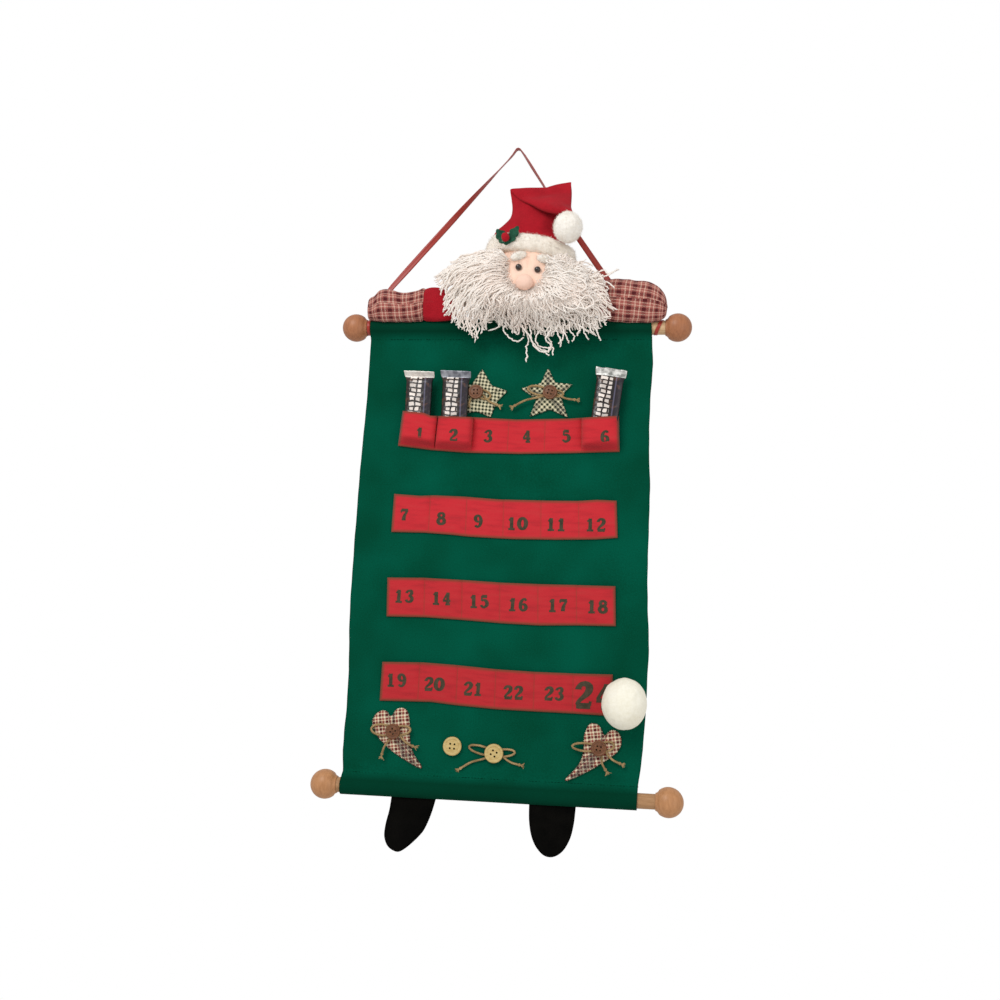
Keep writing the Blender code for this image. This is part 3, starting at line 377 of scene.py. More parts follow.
pinkPlaid = wovenCheck(
    "pinkPlaidCotton",
    (7.6, ((0.0, "#4E1216"), (0.32, "#A35E55"), (0.48, "#D9B5A1"), (0.56, "#A35E55"), (0.82, "#D9B5A1"),
           (0.9, "#8C4640"))),
    (9.4, ((0.0, "#4E1216"), (0.28, "#A35E55"), (0.42, "#D9B5A1"), (0.5, "#9A5149"), (0.72, "#D9B5A1"),
           (0.8, "#A35E55"))),
    0.9, 4.0)
heartPlaid = wovenCheck(
    "ivoryRedPlaidCotton",
    (7.0, ((0.0, "#5A1418"), (0.36, "#E2CFAE"), (0.5, "#A4564A"), (0.78, "#EADCBC"))),
    (7.0, ((0.0, "#5A1A1C"), (0.34, "#E2CFAE"), (0.5, "#8E4038"), (0.76, "#EADCBC"))),
    0.8, -8.0)
ginghamBands = ((0.0, "#E2DAB6"), (0.46, "#1E2A18"))
ginghamStraight = wovenCheck("greenGinghamCotton", (3.8, ginghamBands), (3.8, ginghamBands), 0.75, 6.0)
ginghamSlanted = wovenCheck("greenGinghamBias", (4.0, ginghamBands), (4.0, ginghamBands), 0.75, 45.0)

# light and dark shade, width of the streaks in mm, stretch of the grain, roughness
ballWood = turnedWood("stainedBallWood", "#B0744F", "#9C6443", 2.6, (1.0, 1.0, 0.2), 0.42)
paleBallWood = turnedWood("lighterBallWood", "#C08A5E", "#AE7A50", 2.6, (1.0, 1.0, 0.2), 0.42)
topRodWood = turnedWood("paleDowelWood", "#D6B48C", "#BE9A70", 1.6, (0.12, 1.0, 1.0), 0.55)
rodWood = turnedWood("bareDowelWood", "#B58A62", "#A0764F", 1.6, (0.12, 1.0, 1.0), 0.55)
brownButtonWood = turnedWood("brownStainedButton", "#7A4E30", "#583420", 1.4, (0.3, 1.0, 1.0), 0.45)
paleButtonWood = turnedWood("paleTurnedButton", "#CDB67C", "#B89A5C", 1.6, (0.25, 1.0, 1.0), 0.42)

# black glass bead: nearly black, with a sharp small highlight
blackBead, beadTree, beadShader = startMaterial("blackGlassBead", {"Roughness": 0.08, "Coat Weight": 0.6})
beadDepth = addNode(beadTree, "TexNoise", {"Scale": 1000 / 3.0})
beadShade = addNode(
    beadTree, "ValToRGB", {0: beadDepth.outputs[0]}, ramp=((0.4, "#120A08"), (0.7, "#2A1812")))
beadTree.links.new(beadShade.outputs[0], beadShader.inputs["Base Color"])

# satin ribbon: fine threads along it catch the light, so it has a soft lengthwise gloss
redSatin, satinTree, satinShader = startMaterial("redSatinRibbon", {
    "Roughness": 0.38, "Specular IOR Level": 0.45, "Anisotropic": 0.5, "Sheen Weight": 0.15})
satinPlace = addNode(satinTree, "TexCoord").outputs["UV"]
satinLong = addNode(satinTree, "Mapping", {"Vector": satinPlace, "Scale": (1.0, 0.02, 1.0)})
satinThreads = addNode(
    satinTree, "TexNoise", {"Vector": satinLong.outputs[0], "Scale": 1000 / 0.6, "Detail": 3.0})
satinShade = addNode(
    satinTree, "ValToRGB", {0: satinThreads.outputs[0]}, ramp=((0.3, "#8A1E16"), (0.7, "#B0321F")))
finishSurface(satinTree, satinShader, satinShade.outputs[0], satinThreads.outputs[0], 0.15, 0.1)

# red cotton of the pocket strips: a dull weave with brownish worn patches, an olive thread round its
# edge, and the lower strips a little duller and greener than the upper ones
redCotton, cottonTree, cottonShader = startMaterial(
    "redPocketCotton", {"Roughness": 0.9, "Specular IOR Level": 0.2, "Sheen Weight": 0.08})
cottonPlace = addNode(cottonTree, "TexCoord").outputs["UV"]
cottonStreak = addNode(cottonTree, "Mapping", {"Vector": cottonPlace, "Scale": (0.18, 1.0, 1.0)})
cottonWear = addNode(
    cottonTree, "TexNoise", {"Vector": cottonStreak.outputs[0], "Scale": 1000 / 5.0, "Detail": 4.0})
cottonWeave = addNode(cottonTree, "TexNoise", {"Vector": cottonPlace, "Scale": 1000 / 0.9, "Detail": 2.0})
cottonBoth = addNode(cottonTree, "Mix", {0: 0.3, 2: cottonWear.outputs[0], 3: cottonWeave.outputs[0]})
cottonShade = addNode(cottonTree, "ValToRGB", {0: cottonBoth.outputs[0]}, ramp=(
    (0.34, "#B22830"), (0.5, "#C62A33"), (0.66, "#C23237")))
cottonBand = addNode(cottonTree, "Attribute", attribute_name="edgeBand")
cottonEdge = addNode(
    cottonTree, "Mix", {0: cottonBand.outputs["Fac"], 6: cottonShade.outputs[0], 7: hexColour("#7E4230")},
    data_type="RGBA")
cottonHeight = addNode(cottonTree, "SeparateXYZ", {0: addNode(cottonTree, "TexCoord").outputs["Object"]})
cottonRow = addNode(cottonTree, "MapRange", {0: cottonHeight.outputs[2], 1: -0.6, 2: -0.32})
# colour tinted by height: the lower strips duller and greener, the upper ones a little pinker
cottonHeightTint = addNode(cottonTree, "ValToRGB", {0: cottonRow.outputs[0]}, ramp=(
    (0.0, "#EEF4EC"), (0.35, "#F4F8F2"), (0.68, "#FFFAFC"), (1.0, "#FFF4F6")))
cottonTinted = addNode(cottonTree, "Mix", {0: 1.0, 6: cottonEdge.outputs[2], 7: cottonHeightTint.outputs[0]},
                     data_type="RGBA", blend_type="MULTIPLY")
finishSurface(cottonTree, cottonShader, cottonTinted.outputs[2], cottonWeave.outputs[0], 0.3, 0.3)

print("Stage 3: cords")

ribbonSettings = {
    "width": 6.5,
    "tiedWidth": 3.6,
    "thickness": 0.45,
    "curl": 0.25,
    "behind": 8.1,  # how far the legs rise behind the rod's axis
    "nailHeight": 209.0,
    "bendSide": (2.2, -0.8),  # where each leg meets the bend over the nail, across and up from it
    "bendTop": 0.2,
    "wrapRadius": 8.0,
    "wrapDegrees": 300,
    "wrapSteps": 24,
    # the neck, how far the turns round it spread to each side, and the leg's rows: height share, place
    # across as a share of the neck's, twist in degrees from flat
    "left": (-153.6, 0.0, (
        (0.05, 1.0, 0), (0.09, 0.99, 0), (0.16, 0.945, 0), (0.24, 0.868, 0), (0.43, 0.655, 8),
        (0.56, 0.507, 24), (0.66, 0.394, 52), (0.745, 0.296, 72), (0.845, 0.179, 94), (0.885, 0.133, 104),
        (0.93, 0.08, 103), (0.975, 0.03, 93))),
    "right": (158.2, 3.6, (
        (0.05, 1.0, 0), (0.11, 0.9, 0), (0.2, 0.735, 0), (0.32, 0.614, 0), (0.507, 0.443, 10),
        (0.6, 0.356, 30), (0.7, 0.267, 70), (0.785, 0.196, 100), (0.9, 0.099, 106), (0.975, 0.036, 98))),
}
backwards = Vector((0, 1, 0))


def ribbonLeg(neck, spread, leg):
    # from the end of the ribbon, round the neck and up to the nail: place, width direction, width
    s = ribbonSettings
    side = math.copysign(1, neck)
    rows = []
    for i in range(s["wrapSteps"] + 1):
        share = i / s["wrapSteps"]
        turn = math.radians(s["wrapDegrees"]) * (1 - share)
        across = neck + side * spread * math.tanh((0.42 - share) / 0.2)
        spot = Vector((across, s["wrapRadius"] * math.cos(turn), -s["wrapRadius"] * math.sin(turn)))
        rows.append((spot, Vector((1, 0, 0)), s["tiedWidth"]))
    foot = rows[-1][0].x
    rise = Vector((-foot, 0, s["nailHeight"])).normalized()
    flat = Vector((rise.z, 0, -rise.x))
    for near, far in zip(leg, leg[1:]):
        for k in range(4):
            share, across, twist = (a + (b - a) * k / 4 for a, b in zip(near, far))
            turn = math.radians(twist)
            spot = Vector((foot * across, s["behind"], s["nailHeight"] * share))
            wide = s["tiedWidth"] + (s["width"] - s["tiedWidth"]) * min(1.0, share * 3)
            rows.append((spot, flat * math.cos(turn) + backwards * math.sin(turn), wide))
    across, up = s["bendSide"]
    rows.append((Vector((side * across, s["behind"], s["nailHeight"] + up)), backwards, s["width"]))
    return rows


bendTop = Vector((0, ribbonSettings["behind"], ribbonSettings["nailHeight"] + ribbonSettings["bendTop"]))
route = ribbonLeg(*ribbonSettings["left"]) + [(bendTop, backwards, ribbonSettings["width"])]
route += reversed(ribbonLeg(*ribbonSettings["right"]))
routeLength = pathLength([row[0] for row in route])


def ribbonPlace(u, v):
    index = round(v * (len(route) - 1))
    spot, across, wide = route[index]
    before, after = route[max(index - 1, 0)][0], route[min(index + 1, len(route) - 1)][0]
    heading = (after - before).normalized()
    across = (across - heading * across.dot(heading)).normalized()
    curl = heading.cross(across) * ribbonSettings["curl"] * math.sin(math.pi * u)
    return at(*(spot + across * (u - 0.5) * wide + curl))


ribbon = addPiece(
    "hangerRibbon", bentGrid(4, len(route) - 1, (ribbonSettings["width"], routeLength), ribbonPlace),
    [redSatin], "hanger", "hanger_ribbon", "red_satin")
thicken(ribbon, ribbonSettings["thickness"])
at(*route[0][0])
[at(*row[0]) for row in route]

print("Stage 4: rods, balls and banner cloth")


def turned(profile, axis, centre, steps=48):
    # spins a line of (along, radius) in mm round an axis, then moves it to its centre in metres
    bm = bmesh.new()
    verts = [bm.verts.new((along * axis[0] * mm, along * axis[1] * mm, radius * mm))
             for along, radius in profile]
    edges = [bm.edges.new(pair) for pair in zip(verts, verts[1:])]
    bmesh.ops.spin(bm, geom=verts + edges, axis=axis, angle=2 * math.pi, steps=steps, use_merge=True)
    bmesh.ops.remove_doubles(bm, verts=bm.verts, dist=0.01 * mm)
    bmesh.ops.recalc_face_normals(bm, faces=bm.faces)
    bmesh.ops.translate(bm, verts=bm.verts, vec=centre)
    return bm


rodSettings = {
    "radius": 7.5,
    "ballRadius": 14.9,
    # each rod's ends, its height, and the middles of its balls
    "top": (-169.4, 178.5, 0.0, (-168.8, 177.9)),
    "bottom": (-170.7, 177.7, -485.0, (-170.1, 177.1)),
    # the short hollow collar between ball and rod: along from the ball's middle, radius
    "collar": ((-9.0, 11.85), (-9.9, 10.5), (-10.9, 9.4), (-11.9, 8.8), (-12.5, 8.7), (-12.8, 8.4),
               (-12.85, 7.4)),
}


def turnedBall(centreX, height):
    radius, collar = rodSettings["ballRadius"], rodSettings["collar"]
    start = math.acos(collar[0][0] / radius)
    turns = [start * i / 22 for i in range(23)]
    profile = [(radius * math.cos(turn), radius * math.sin(turn)) for turn in turns]
    profile += [*collar[1:], (collar[-1][0], 0.0)]
    return turned(profile, (math.copysign(1, centreX), 0, 0), at(centreX, 0, height), 64)


for level, body, rodFinish, ballFinish in (("top", "hanger", topRodWood, ballWood),
                                           ("bottom", "bottom_rod", rodWood, paleBallWood)):
    low, high, height, ballMiddles = rodSettings[level]
    radius = rodSettings["radius"]
    dowel = turned([(low, 0), (low, radius), (high, radius), (high, 0)], (1, 0, 0), at(0, 0, height))
    rod = addPiece(f"{level}Dowel", dowel, [rodFinish], body, f"{level}_rod", "turned_wood")
    rod.data.set_sharp_from_angle(angle=math.radians(40))
    for centreX, word in zip(ballMiddles, ("Left", "Right")):
        addPiece(f"{level}Ball{word}", turnedBall(centreX, height), [ballFinish], body,
                 f"{level}_ball_{word.lower()}", "turned_wood")

bannerSettings = {
    "width": 303.0,
    "thickness": 1.4,
    "sleeveRadius": 8.6,
    "sleeveOpening": 48,
    "seamDrop": 13.9,
    "hem": 4.6,
    "rodSpacing": 485.0,
    "waves": (0.9, 60, 110, 30),  # depth, length across and down, and how far they end from a seam
    "puckers": (0.45, 4.5, 30, 7.0),  # depth, length across and down, and how far they reach from a seam
    "edgeWander": (0.7, 22),  # depth, length down
    # how far each edge of the cloth bellies out past its cut width, down its length
    "leftBelly": ((-490, 1.6), (-470, 0.8), (-450, 2.4), (-410, 1.4), (-369, 1.4), (-328, 3.8), (-286, 4.6),
                  (-243, 4.3), (-201, 3.7), (-158, 3.2), (-114, 1.7), (-92, 0.9), (-60, 0.4), (0, 0.0)),
    "rightBelly": ((-492, -5.2), (-475, -4.6), (-455, -2.4), (-436, -0.4), (-396, 1.8), (-357, 3.0),
                   (-337, 3.5), (-297, 1.7), (-256, 0.2), (-215, 1.0), (-174, 1.2), (-132, -0.6),
                   (-110, -1.0), (-68, 0.0), (-40, 1.5), (0, -0.8)),
    "sleeveShadeStrength": 0.8,
}


def sleeveLoop(drop, start, end):
    # the cloth's way round a rod, from one side of its seam to the other
    radius, steps = bannerSettings["sleeveRadius"], 26
    turns = [math.radians(start + (end - start) * i / steps) for i in range(steps + 1)]
    return [(radius * math.sin(turn), -drop - radius * math.cos(turn)) for turn in turns]


b = bannerSettings
hemY = b["thickness"]
topSeam, bottomSeam = -b["seamDrop"], -b["rodSpacing"] + b["seamDrop"]
bannerLine = [(hemY, topSeam - b["hem"]), (hemY, topSeam - b["hem"] / 2), (hemY, topSeam)]
bannerLine += sleeveLoop(0, b["sleeveOpening"], 360 - b["sleeveOpening"])
bannerLine += [(0, topSeam + (bottomSeam - topSeam) * i / 130) for i in range(131)]
bannerLine += sleeveLoop(b["rodSpacing"], 180 + b["sleeveOpening"], 540 - b["sleeveOpening"])
bannerLine += [(hemY, bottomSeam), (hemY, bottomSeam + b["hem"] / 2), (hemY, bottomSeam + b["hem"])]
bannerCut = sum(math.dist(p, q) for p, q in zip(bannerLine, bannerLine[1:]))


def bannerPlace(u, v):
    y, z = bannerLine[round(v * (len(bannerLine) - 1))]
    x = (u - 0.5) * b["width"]
    if y <= 0.001 and topSeam > z > bottomSeam:
        depth, across, down, end = b["waves"]
        inside = smoothStep((topSeam - z) / end) * smoothStep((z - bottomSeam) / end)
        y += depth * inside * (0.5 + 0.5 * noise.noise(Vector((x / across, z / down, 3.0))))
    depth, across, down, reach = b["puckers"]
    for seam in (topSeam, bottomSeam):
        near = math.exp(-((z - seam) / reach) ** 2)
        y += near * depth * noise.noise(Vector((x / across, seam, z / down)))
    side = 2 * u - 1
    x += side * abs(side) ** 3 * easeBetween(b["rightBelly" if side > 0 else "leftBelly"], z)
    depth, down = b["edgeWander"]
    x += abs(side) ** 6 * depth * noise.noise(Vector((side, z / down, 8.0)))
    return at(x, y, z)


banner = addPiece("bannerCloth", bentGrid(110, len(bannerLine) - 1, (b["width"], bannerCut), bannerPlace),
                  [greenCotton], "banner", "banner", "green_cloth")
heights = [(vert.co.z - rodZ) / mm for vert in banner.data.vertices]
# painted shade for the sleeves, read by the cloth's colour
paintPoints(banner, "paintedSleeveShade", [b["sleeveShadeStrength"] * max(
    smoothStep((z - topSeam) / 2.0), smoothStep((bottomSeam - z) / 2.0)) for z in heights])
thicken(banner, b["thickness"])

stitchSettings = {
    "count": 92,
    "firstX": -149,
    "spacing": 3.23,
    "radius": 0.42,
    "offSeam": 0.6,
    "sag": 0.25,
    "rise": ((0.0, -0.75), (1.3, -1.1), (2.6, -0.75)),  # along each stitch, and its depth there
}
stitchRows = []
for seam in (topSeam + stitchSettings["offSeam"], bottomSeam - stitchSettings["offSeam"]):
    for i in range(stitchSettings["count"]):
        x = stitchSettings["firstX"] + i * stitchSettings["spacing"]
        z = seam + stitchSettings["sag"] * noise.noise(Vector((x / 30, seam, 0)))
        stitchRows.append([at(x + along, y, z) for along, y in stitchSettings["rise"]])
stitches = tubeMesh("sleeveStitches", stitchRows, stitchSettings["radius"] * mm)
addPiece("sleeveStitches", stitches, [sewingThread], "banner")

print("Stage 5: pocket strips and digits")

# outlines in mm from the rod's axis, as (x, z) along the top and the bottom edge of each strip
stripEdges = (
    (((-111.4, -92.9), (-88.9, -94.6), (-81.1, -97.9), (-42.2, -98.8), (11.3, -101.2), (67.5, -99.6),
      (92.6, -97.6), (118.5, -96.0)),
     ((-114.4, -131.1), (-77.6, -135.3), (-40.7, -137.6), (14.4, -138.1), (68.5, -136.6), (120.4, -134.4))),
    (((-115.4, -183.2), (-87.4, -184.8), (-72.1, -184.0), (-39.8, -184.8), (-4.3, -187.0), (47.5, -187.3),
      (78.9, -187.0), (98.5, -185.4), (118.6, -186.0)),
     ((-116.2, -223.9), (-80.4, -223.9), (-53.1, -225.3), (-32.8, -227.0), (12.4, -228.4), (57.1, -228.0),
      (98.0, -226.7), (120.8, -224.5))),
    (((-117.4, -272.1), (-79.3, -271.3), (-37.2, -272.4), (2.8, -274.0), (42.4, -274.4), (81.6, -274.2),
      (119.7, -274.2)),
     ((-116.0, -312.6), (-75.6, -312.1), (-35.4, -313.7), (4.5, -315.7), (43.8, -316.6), (82.8, -315.2),
      (121.2, -314.7))),
    (((-117.4, -359.5), (-74.7, -358.5), (-41.4, -359.8), (1.5, -362.5), (42.2, -363.6), (89.1, -363.6),
      (119.4, -363.1)),
     ((-118.0, -399.0), (-64.5, -398.1), (-39.6, -400.2), (4.8, -402.6), (42.0, -403.0), (80.6, -403.3),
      (120.0, -404.2))),
)
stripSettings = {
    "cut": (236, 40),
    "wall": 0.9,
    "back": -1.45,
    "emptyBulge": 1.7,
    "mouthBulge": 1.3,
    "filledBulge": 13.2,
    "filledPockets": ((0, 0), (0, 1), (0, 5)),  # row and column of each
    "edgeBand": (0.9, 2.6, 0.9),  # where it begins to fade, over how far, and its strength
    "seamLine": (0.0, 1.2, 0.45),  # the same for the faint line of stitches between two pockets
    "measuredAt": -1.0,  # depth of the plane on which the outlines were measured
}


def nearer(x, y, z):
    # moves a place measured on the cloth along the line of sight, so it looks the same from the front
    seenX, seenY, seenZ = viewSettings["cameraPlace"]
    share = (y - seenY) / (stripSettings["measuredAt"] - seenY)
    return (seenX + (x - seenX) * share, y, seenZ + (z - seenZ) * share)


def stripPoint(row, u, v):
    # place on a pocket strip: u across, v up; the cloth stands off between its seams
    s = stripSettings
    top, bottom = stripEdges[row]
    topX = top[0][0] + (top[-1][0] - top[0][0]) * u
    bottomX = bottom[0][0] + (bottom[-1][0] - bottom[0][0]) * u
    x = bottomX + (topX - bottomX) * v
    z = easeBetween(bottom, bottomX) * (1 - v) + easeBetween(top, topX) * v
    pocket = min(5, int(u * 6))
    inPocket = 2 * (u * 6 - pocket) - 1
    # a bar pushes its pocket out to full depth; an empty one sags, and gapes a little at its mouth
    if (row, pocket) in s["filledPockets"]:
        out = s["filledBulge"] * (1 - abs(inPocket) ** 6) ** 0.42 * smoothStep(v / 0.34)
    else:
        sag = 0.75 + 0.5 * noise.noise(Vector((pocket * 3.1, row * 2.3, 1.0)))
        out = (s["emptyBulge"] * smoothStep(v / 0.35) + s["mouthBulge"] * v ** 4) * sag * (1 - inPocket ** 6)
    out += 0.22 * noise.noise(Vector((x / 7, z / 4, row))) * smoothStep(v / 0.1)
    return nearer(x, s["back"] - max(0.0, out), z)


def fadeFrom(distance, line):
    # how strongly a place takes the colour of a line of stitches this far off
    start, reach, strength = line
    return strength * (1 - smoothStep((distance - start) / reach))


stripWidth, stripHeight = stripSettings["cut"]
pocketWidth = stripWidth / 6
for row in range(4):
    bm = bentGrid(240, 30, stripSettings["cut"], lambda u, v: at(*stripPoint(row, u, v)))
    strip = addPiece(
        f"pocketStrip{row + 1}", bm, [redCotton], "banner", f"pocket_strip_{row + 1}", "red_cotton")
    strength = [0.0] * len(strip.data.vertices)
    for loop, corner in zip(strip.data.loops, strip.data.uv_layers["cloth"].data):
        x, z = corner.uv / mm
        rim = min(x, stripWidth - x, z, stripHeight - z)
        seam = abs((x + pocketWidth / 2) % pocketWidth - pocketWidth / 2)
        strength[loop.vertex_index] = max(
            fadeFrom(rim, stripSettings["edgeBand"]), fadeFrom(seam, stripSettings["seamLine"]))
    paintPoints(strip, "edgeBand", strength)
    thicken(strip, stripSettings["wall"])

# strokes of each digit in a box one high: a line of (across, up, stroke width) each
digitStrokes = {
    "0": [[(0.34 + 0.24 * math.cos(t), 0.5 + 0.4 * math.sin(t), 0.15 + 0.09 * abs(math.cos(t)))
           for t in [math.pi * 2 * i / 24 for i in range(25)]]],
    "1": [[(0.3, 0.06, 0.2), (0.3, 0.96, 0.2)], [(0.08, 0.06, 0.12), (0.52, 0.06, 0.12)],
          [(0.1, 0.74, 0.09), (0.2, 0.8, 0.13), (0.3, 0.92, 0.16)]],
    "2": [[(0.13, 0.7, 0.2), (0.14, 0.78, 0.16), (0.22, 0.89, 0.14), (0.34, 0.92, 0.15), (0.47, 0.86, 0.2),
           (0.51, 0.72, 0.22), (0.45, 0.57, 0.19), (0.32, 0.42, 0.14), (0.18, 0.27, 0.12),
           (0.12, 0.12, 0.12)],
          [(0.09, 0.09, 0.17), (0.58, 0.09, 0.17)], [(0.55, 0.1, 0.1), (0.57, 0.27, 0.08)]],
    "3": [[(0.12, 0.74, 0.18), (0.16, 0.84, 0.13), (0.3, 0.92, 0.13), (0.44, 0.87, 0.18), (0.47, 0.74, 0.2),
           (0.4, 0.6, 0.15), (0.27, 0.54, 0.11)],
          [(0.27, 0.54, 0.11), (0.43, 0.47, 0.16), (0.51, 0.31, 0.21), (0.45, 0.15, 0.18), (0.3, 0.08, 0.13),
           (0.16, 0.13, 0.13), (0.11, 0.25, 0.18)]],
    "4": [[(0.4, 0.06, 0.19), (0.4, 0.94, 0.19)], [(0.38, 0.92, 0.1), (0.1, 0.36, 0.1)],
          [(0.06, 0.32, 0.13), (0.58, 0.32, 0.13)], [(0.24, 0.05, 0.11), (0.56, 0.05, 0.11)]],
    "5": [[(0.16, 0.88, 0.18), (0.5, 0.88, 0.18)], [(0.15, 0.92, 0.1), (0.14, 0.55, 0.1)],
          [(0.14, 0.55, 0.1), (0.26, 0.61, 0.12), (0.41, 0.57, 0.17), (0.5, 0.42, 0.21), (0.49, 0.25, 0.2),
           (0.38, 0.11, 0.15), (0.24, 0.08, 0.13), (0.14, 0.14, 0.13), (0.11, 0.24, 0.17)]],
    "6": [[(0.49, 0.8, 0.15), (0.42, 0.9, 0.13), (0.31, 0.91, 0.13), (0.19, 0.78, 0.17), (0.13, 0.58, 0.2),
           (0.13, 0.36, 0.2), (0.2, 0.14, 0.16), (0.32, 0.08, 0.13), (0.45, 0.14, 0.18), (0.51, 0.3, 0.21),
           (0.45, 0.46, 0.18), (0.33, 0.54, 0.12), (0.2, 0.48, 0.11), (0.14, 0.38, 0.11)]],
    "7": [[(0.1, 0.87, 0.17), (0.56, 0.87, 0.17)], [(0.1, 0.9, 0.09), (0.1, 0.68, 0.08)],
          [(0.53, 0.84, 0.13), (0.4, 0.58, 0.15), (0.32, 0.36, 0.2), (0.3, 0.07, 0.23)]],
    "8": [[(0.34 + 0.18 * math.cos(t), 0.74 + 0.17 * math.sin(t), 0.13 + 0.05 * abs(math.cos(t)))
           for t in [math.pi * 2 * i / 18 for i in range(19)]],
          [(0.34 + 0.22 * math.cos(t), 0.3 + 0.22 * math.sin(t), 0.14 + 0.07 * abs(math.cos(t)))
           for t in [math.pi * 2 * i / 20 for i in range(21)]]],
    "9": [[(0.17, 0.19, 0.15), (0.25, 0.09, 0.13), (0.36, 0.08, 0.13), (0.48, 0.2, 0.17), (0.54, 0.42, 0.2),
           (0.54, 0.64, 0.2), (0.47, 0.85, 0.16), (0.35, 0.92, 0.13), (0.22, 0.86, 0.18), (0.16, 0.7, 0.21),
           (0.22, 0.54, 0.18), (0.34, 0.46, 0.12), (0.47, 0.52, 0.11), (0.53, 0.62, 0.11)]],
}
digitSettings = {
    "height": 13.8,
    "boldness": 1.32,
    "widen": 1.098,
    "lastHeight": 26.5,
    "advance": 0.78,
    "lean": 0.05,
    "proud": (0.12, 0.004),  # off the cloth, and how much further each of seven strokes lies
    # middle of each number in mm from the rod's axis, row by row
    "places": (
        ((-91.5, -117.5), (-55.5, -119), (-18, -119.5), (23, -119), (64.5, -118.5), (105, -118.5)),
        ((-103.5, -205.5), (-64, -208.5), (-25, -210.5), (16.5, -212), (57.5, -212), (98, -211.5)),
        ((-98.5, -291), (-59, -292), (-19.5, -294), (21, -296), (62, -295.5), (102, -295.5)),
        ((-102, -377.5), (-62.5, -380), (-21.5, -383), (19.5, -385), (61, -384.5), (101, -384.5)),
    ),
}


def stripShare(row, x, z):
    # the strip's own shares of a place measured on it
    top, bottom = stripEdges[row]
    low, high = easeBetween(bottom, x), easeBetween(top, x)
    v = (z - low) / (high - low)
    leftX = bottom[0][0] + (top[0][0] - bottom[0][0]) * v
    rightX = bottom[-1][0] + (top[-1][0] - bottom[-1][0]) * v
    return min(1.0, max(0.0, (x - leftX) / (rightX - leftX))), min(1.0, max(0.0, v))


def onStrip(row, x, z, proud):
    u, v = stripShare(row, x, z)
    px, py, pz = stripPoint(row, u, v)
    return at(px, py - stripSettings["wall"] / 2 - proud, pz)


digitsMesh = bmesh.new()
strokeCount = 0
for row, places in enumerate(digitSettings["places"]):
    for column, (middleX, middleZ) in enumerate(places):
        number = str(row * 6 + column + 1)
        tall = digitSettings["lastHeight"] if number == "24" else digitSettings["height"]
        lean = random.Random(row * 6 + column).uniform(-digitSettings["lean"], digitSettings["lean"])
        for order, digit in enumerate(number):
            startX = middleX + (order - len(number) / 2 + 0.06) * digitSettings["advance"] * tall
            startZ = middleZ - tall / 2
            for stroke in digitStrokes[digit]:
                line = [Vector(stroke[0]).lerp(Vector(stroke[1]), k / 6) for k in range(7)]
                if len(stroke) > 2:
                    line = roundedPath(stroke, 3)
                # strokes that cross lie at slightly different depths
                strokeCount += 1
                proud = digitSettings["proud"][0] + digitSettings["proud"][1] * (strokeCount % 7)

                def strokePlace(u, v):
                    k = round(v * (len(line) - 1))
                    before, after = line[max(k - 1, 0)], line[min(k + 1, len(line) - 1)]
                    heading = Vector((after.x - before.x, after.y - before.y)).normalized()
                    side = (u - 0.5) * line[k].z * digitSettings["boldness"]
                    x = startX + (line[k].x * digitSettings["widen"] - heading.y * side) * tall
                    z = startZ + (line[k].y + heading.x * side) * tall
                    rough = 0.25 * noise.noise(Vector((x / 1.3, z / 1.3, 5.0)))
                    return onStrip(row, x + rough + lean * (z - middleZ), z + rough, proud)

                flat = asMesh("stroke", bentGrid(2, len(line) - 1, (1, 1), strokePlace))
                digitsMesh.from_mesh(flat)
                bpy.data.meshes.remove(flat)
addPiece("printedDigits", digitsMesh, [digitPaint], "banner")

print("Stage 6: bars, stars, hearts and buttons")


def edgeDistance(x, z, outline):
    # how far a place is from the nearest side of a closed outline
    best = 1e9
    for (x0, z0), (x1, z1) in zip(outline, outline[1:] + outline[:1]):
        dx, dz = x1 - x0, z1 - z0
        share = min(1.0, max(0.0, ((x - x0) * dx + (z - z0) * dz) / (dx * dx + dz * dz + 1e-12)))
        best = min(best, (x - x0 - dx * share) ** 2 + (z - z0 - dz * share) ** 2)
    return math.sqrt(best)


def roundedOutline(corners, steps):
    # a smooth line through corners given as (x, z)
    return [(p.x, p.y) for p in roundedPath([(x, z, 0) for x, z in corners], steps)]


def evenOutline(corners, smooth, spacing, zigzag=0.0):
    # closed outline through the corners at even spacing; a zigzag edge is one cut with pinking shears
    ring = list(corners)
    if smooth:
        ring = roundedOutline(ring[-2:] + ring + ring[:3], 8)[16:16 + 8 * len(corners)]
    ring.append(ring[0])
    lengths = [0.0]
    for p, q in zip(ring, ring[1:]):
        lengths.append(lengths[-1] + math.dist(p, q))
    count = 2 * max(8, round(lengths[-1] / spacing / 2))
    points, k = [], 0
    for i in range(count):
        place = lengths[-1] * i / count
        while lengths[k + 1] < place:
            k += 1
        share = (place - lengths[k]) / max(1e-9, lengths[k + 1] - lengths[k])
        heading = Vector((ring[k + 1][0] - ring[k][0], ring[k + 1][1] - ring[k][1])).normalized()
        x = ring[k][0] + (ring[k + 1][0] - ring[k][0]) * share
        z = ring[k][1] + (ring[k + 1][1] - ring[k][1]) * share
        out = zigzag * (1 if i % 2 else -1)
        points.append((x + heading.y * out, z - heading.x * out))
    return points


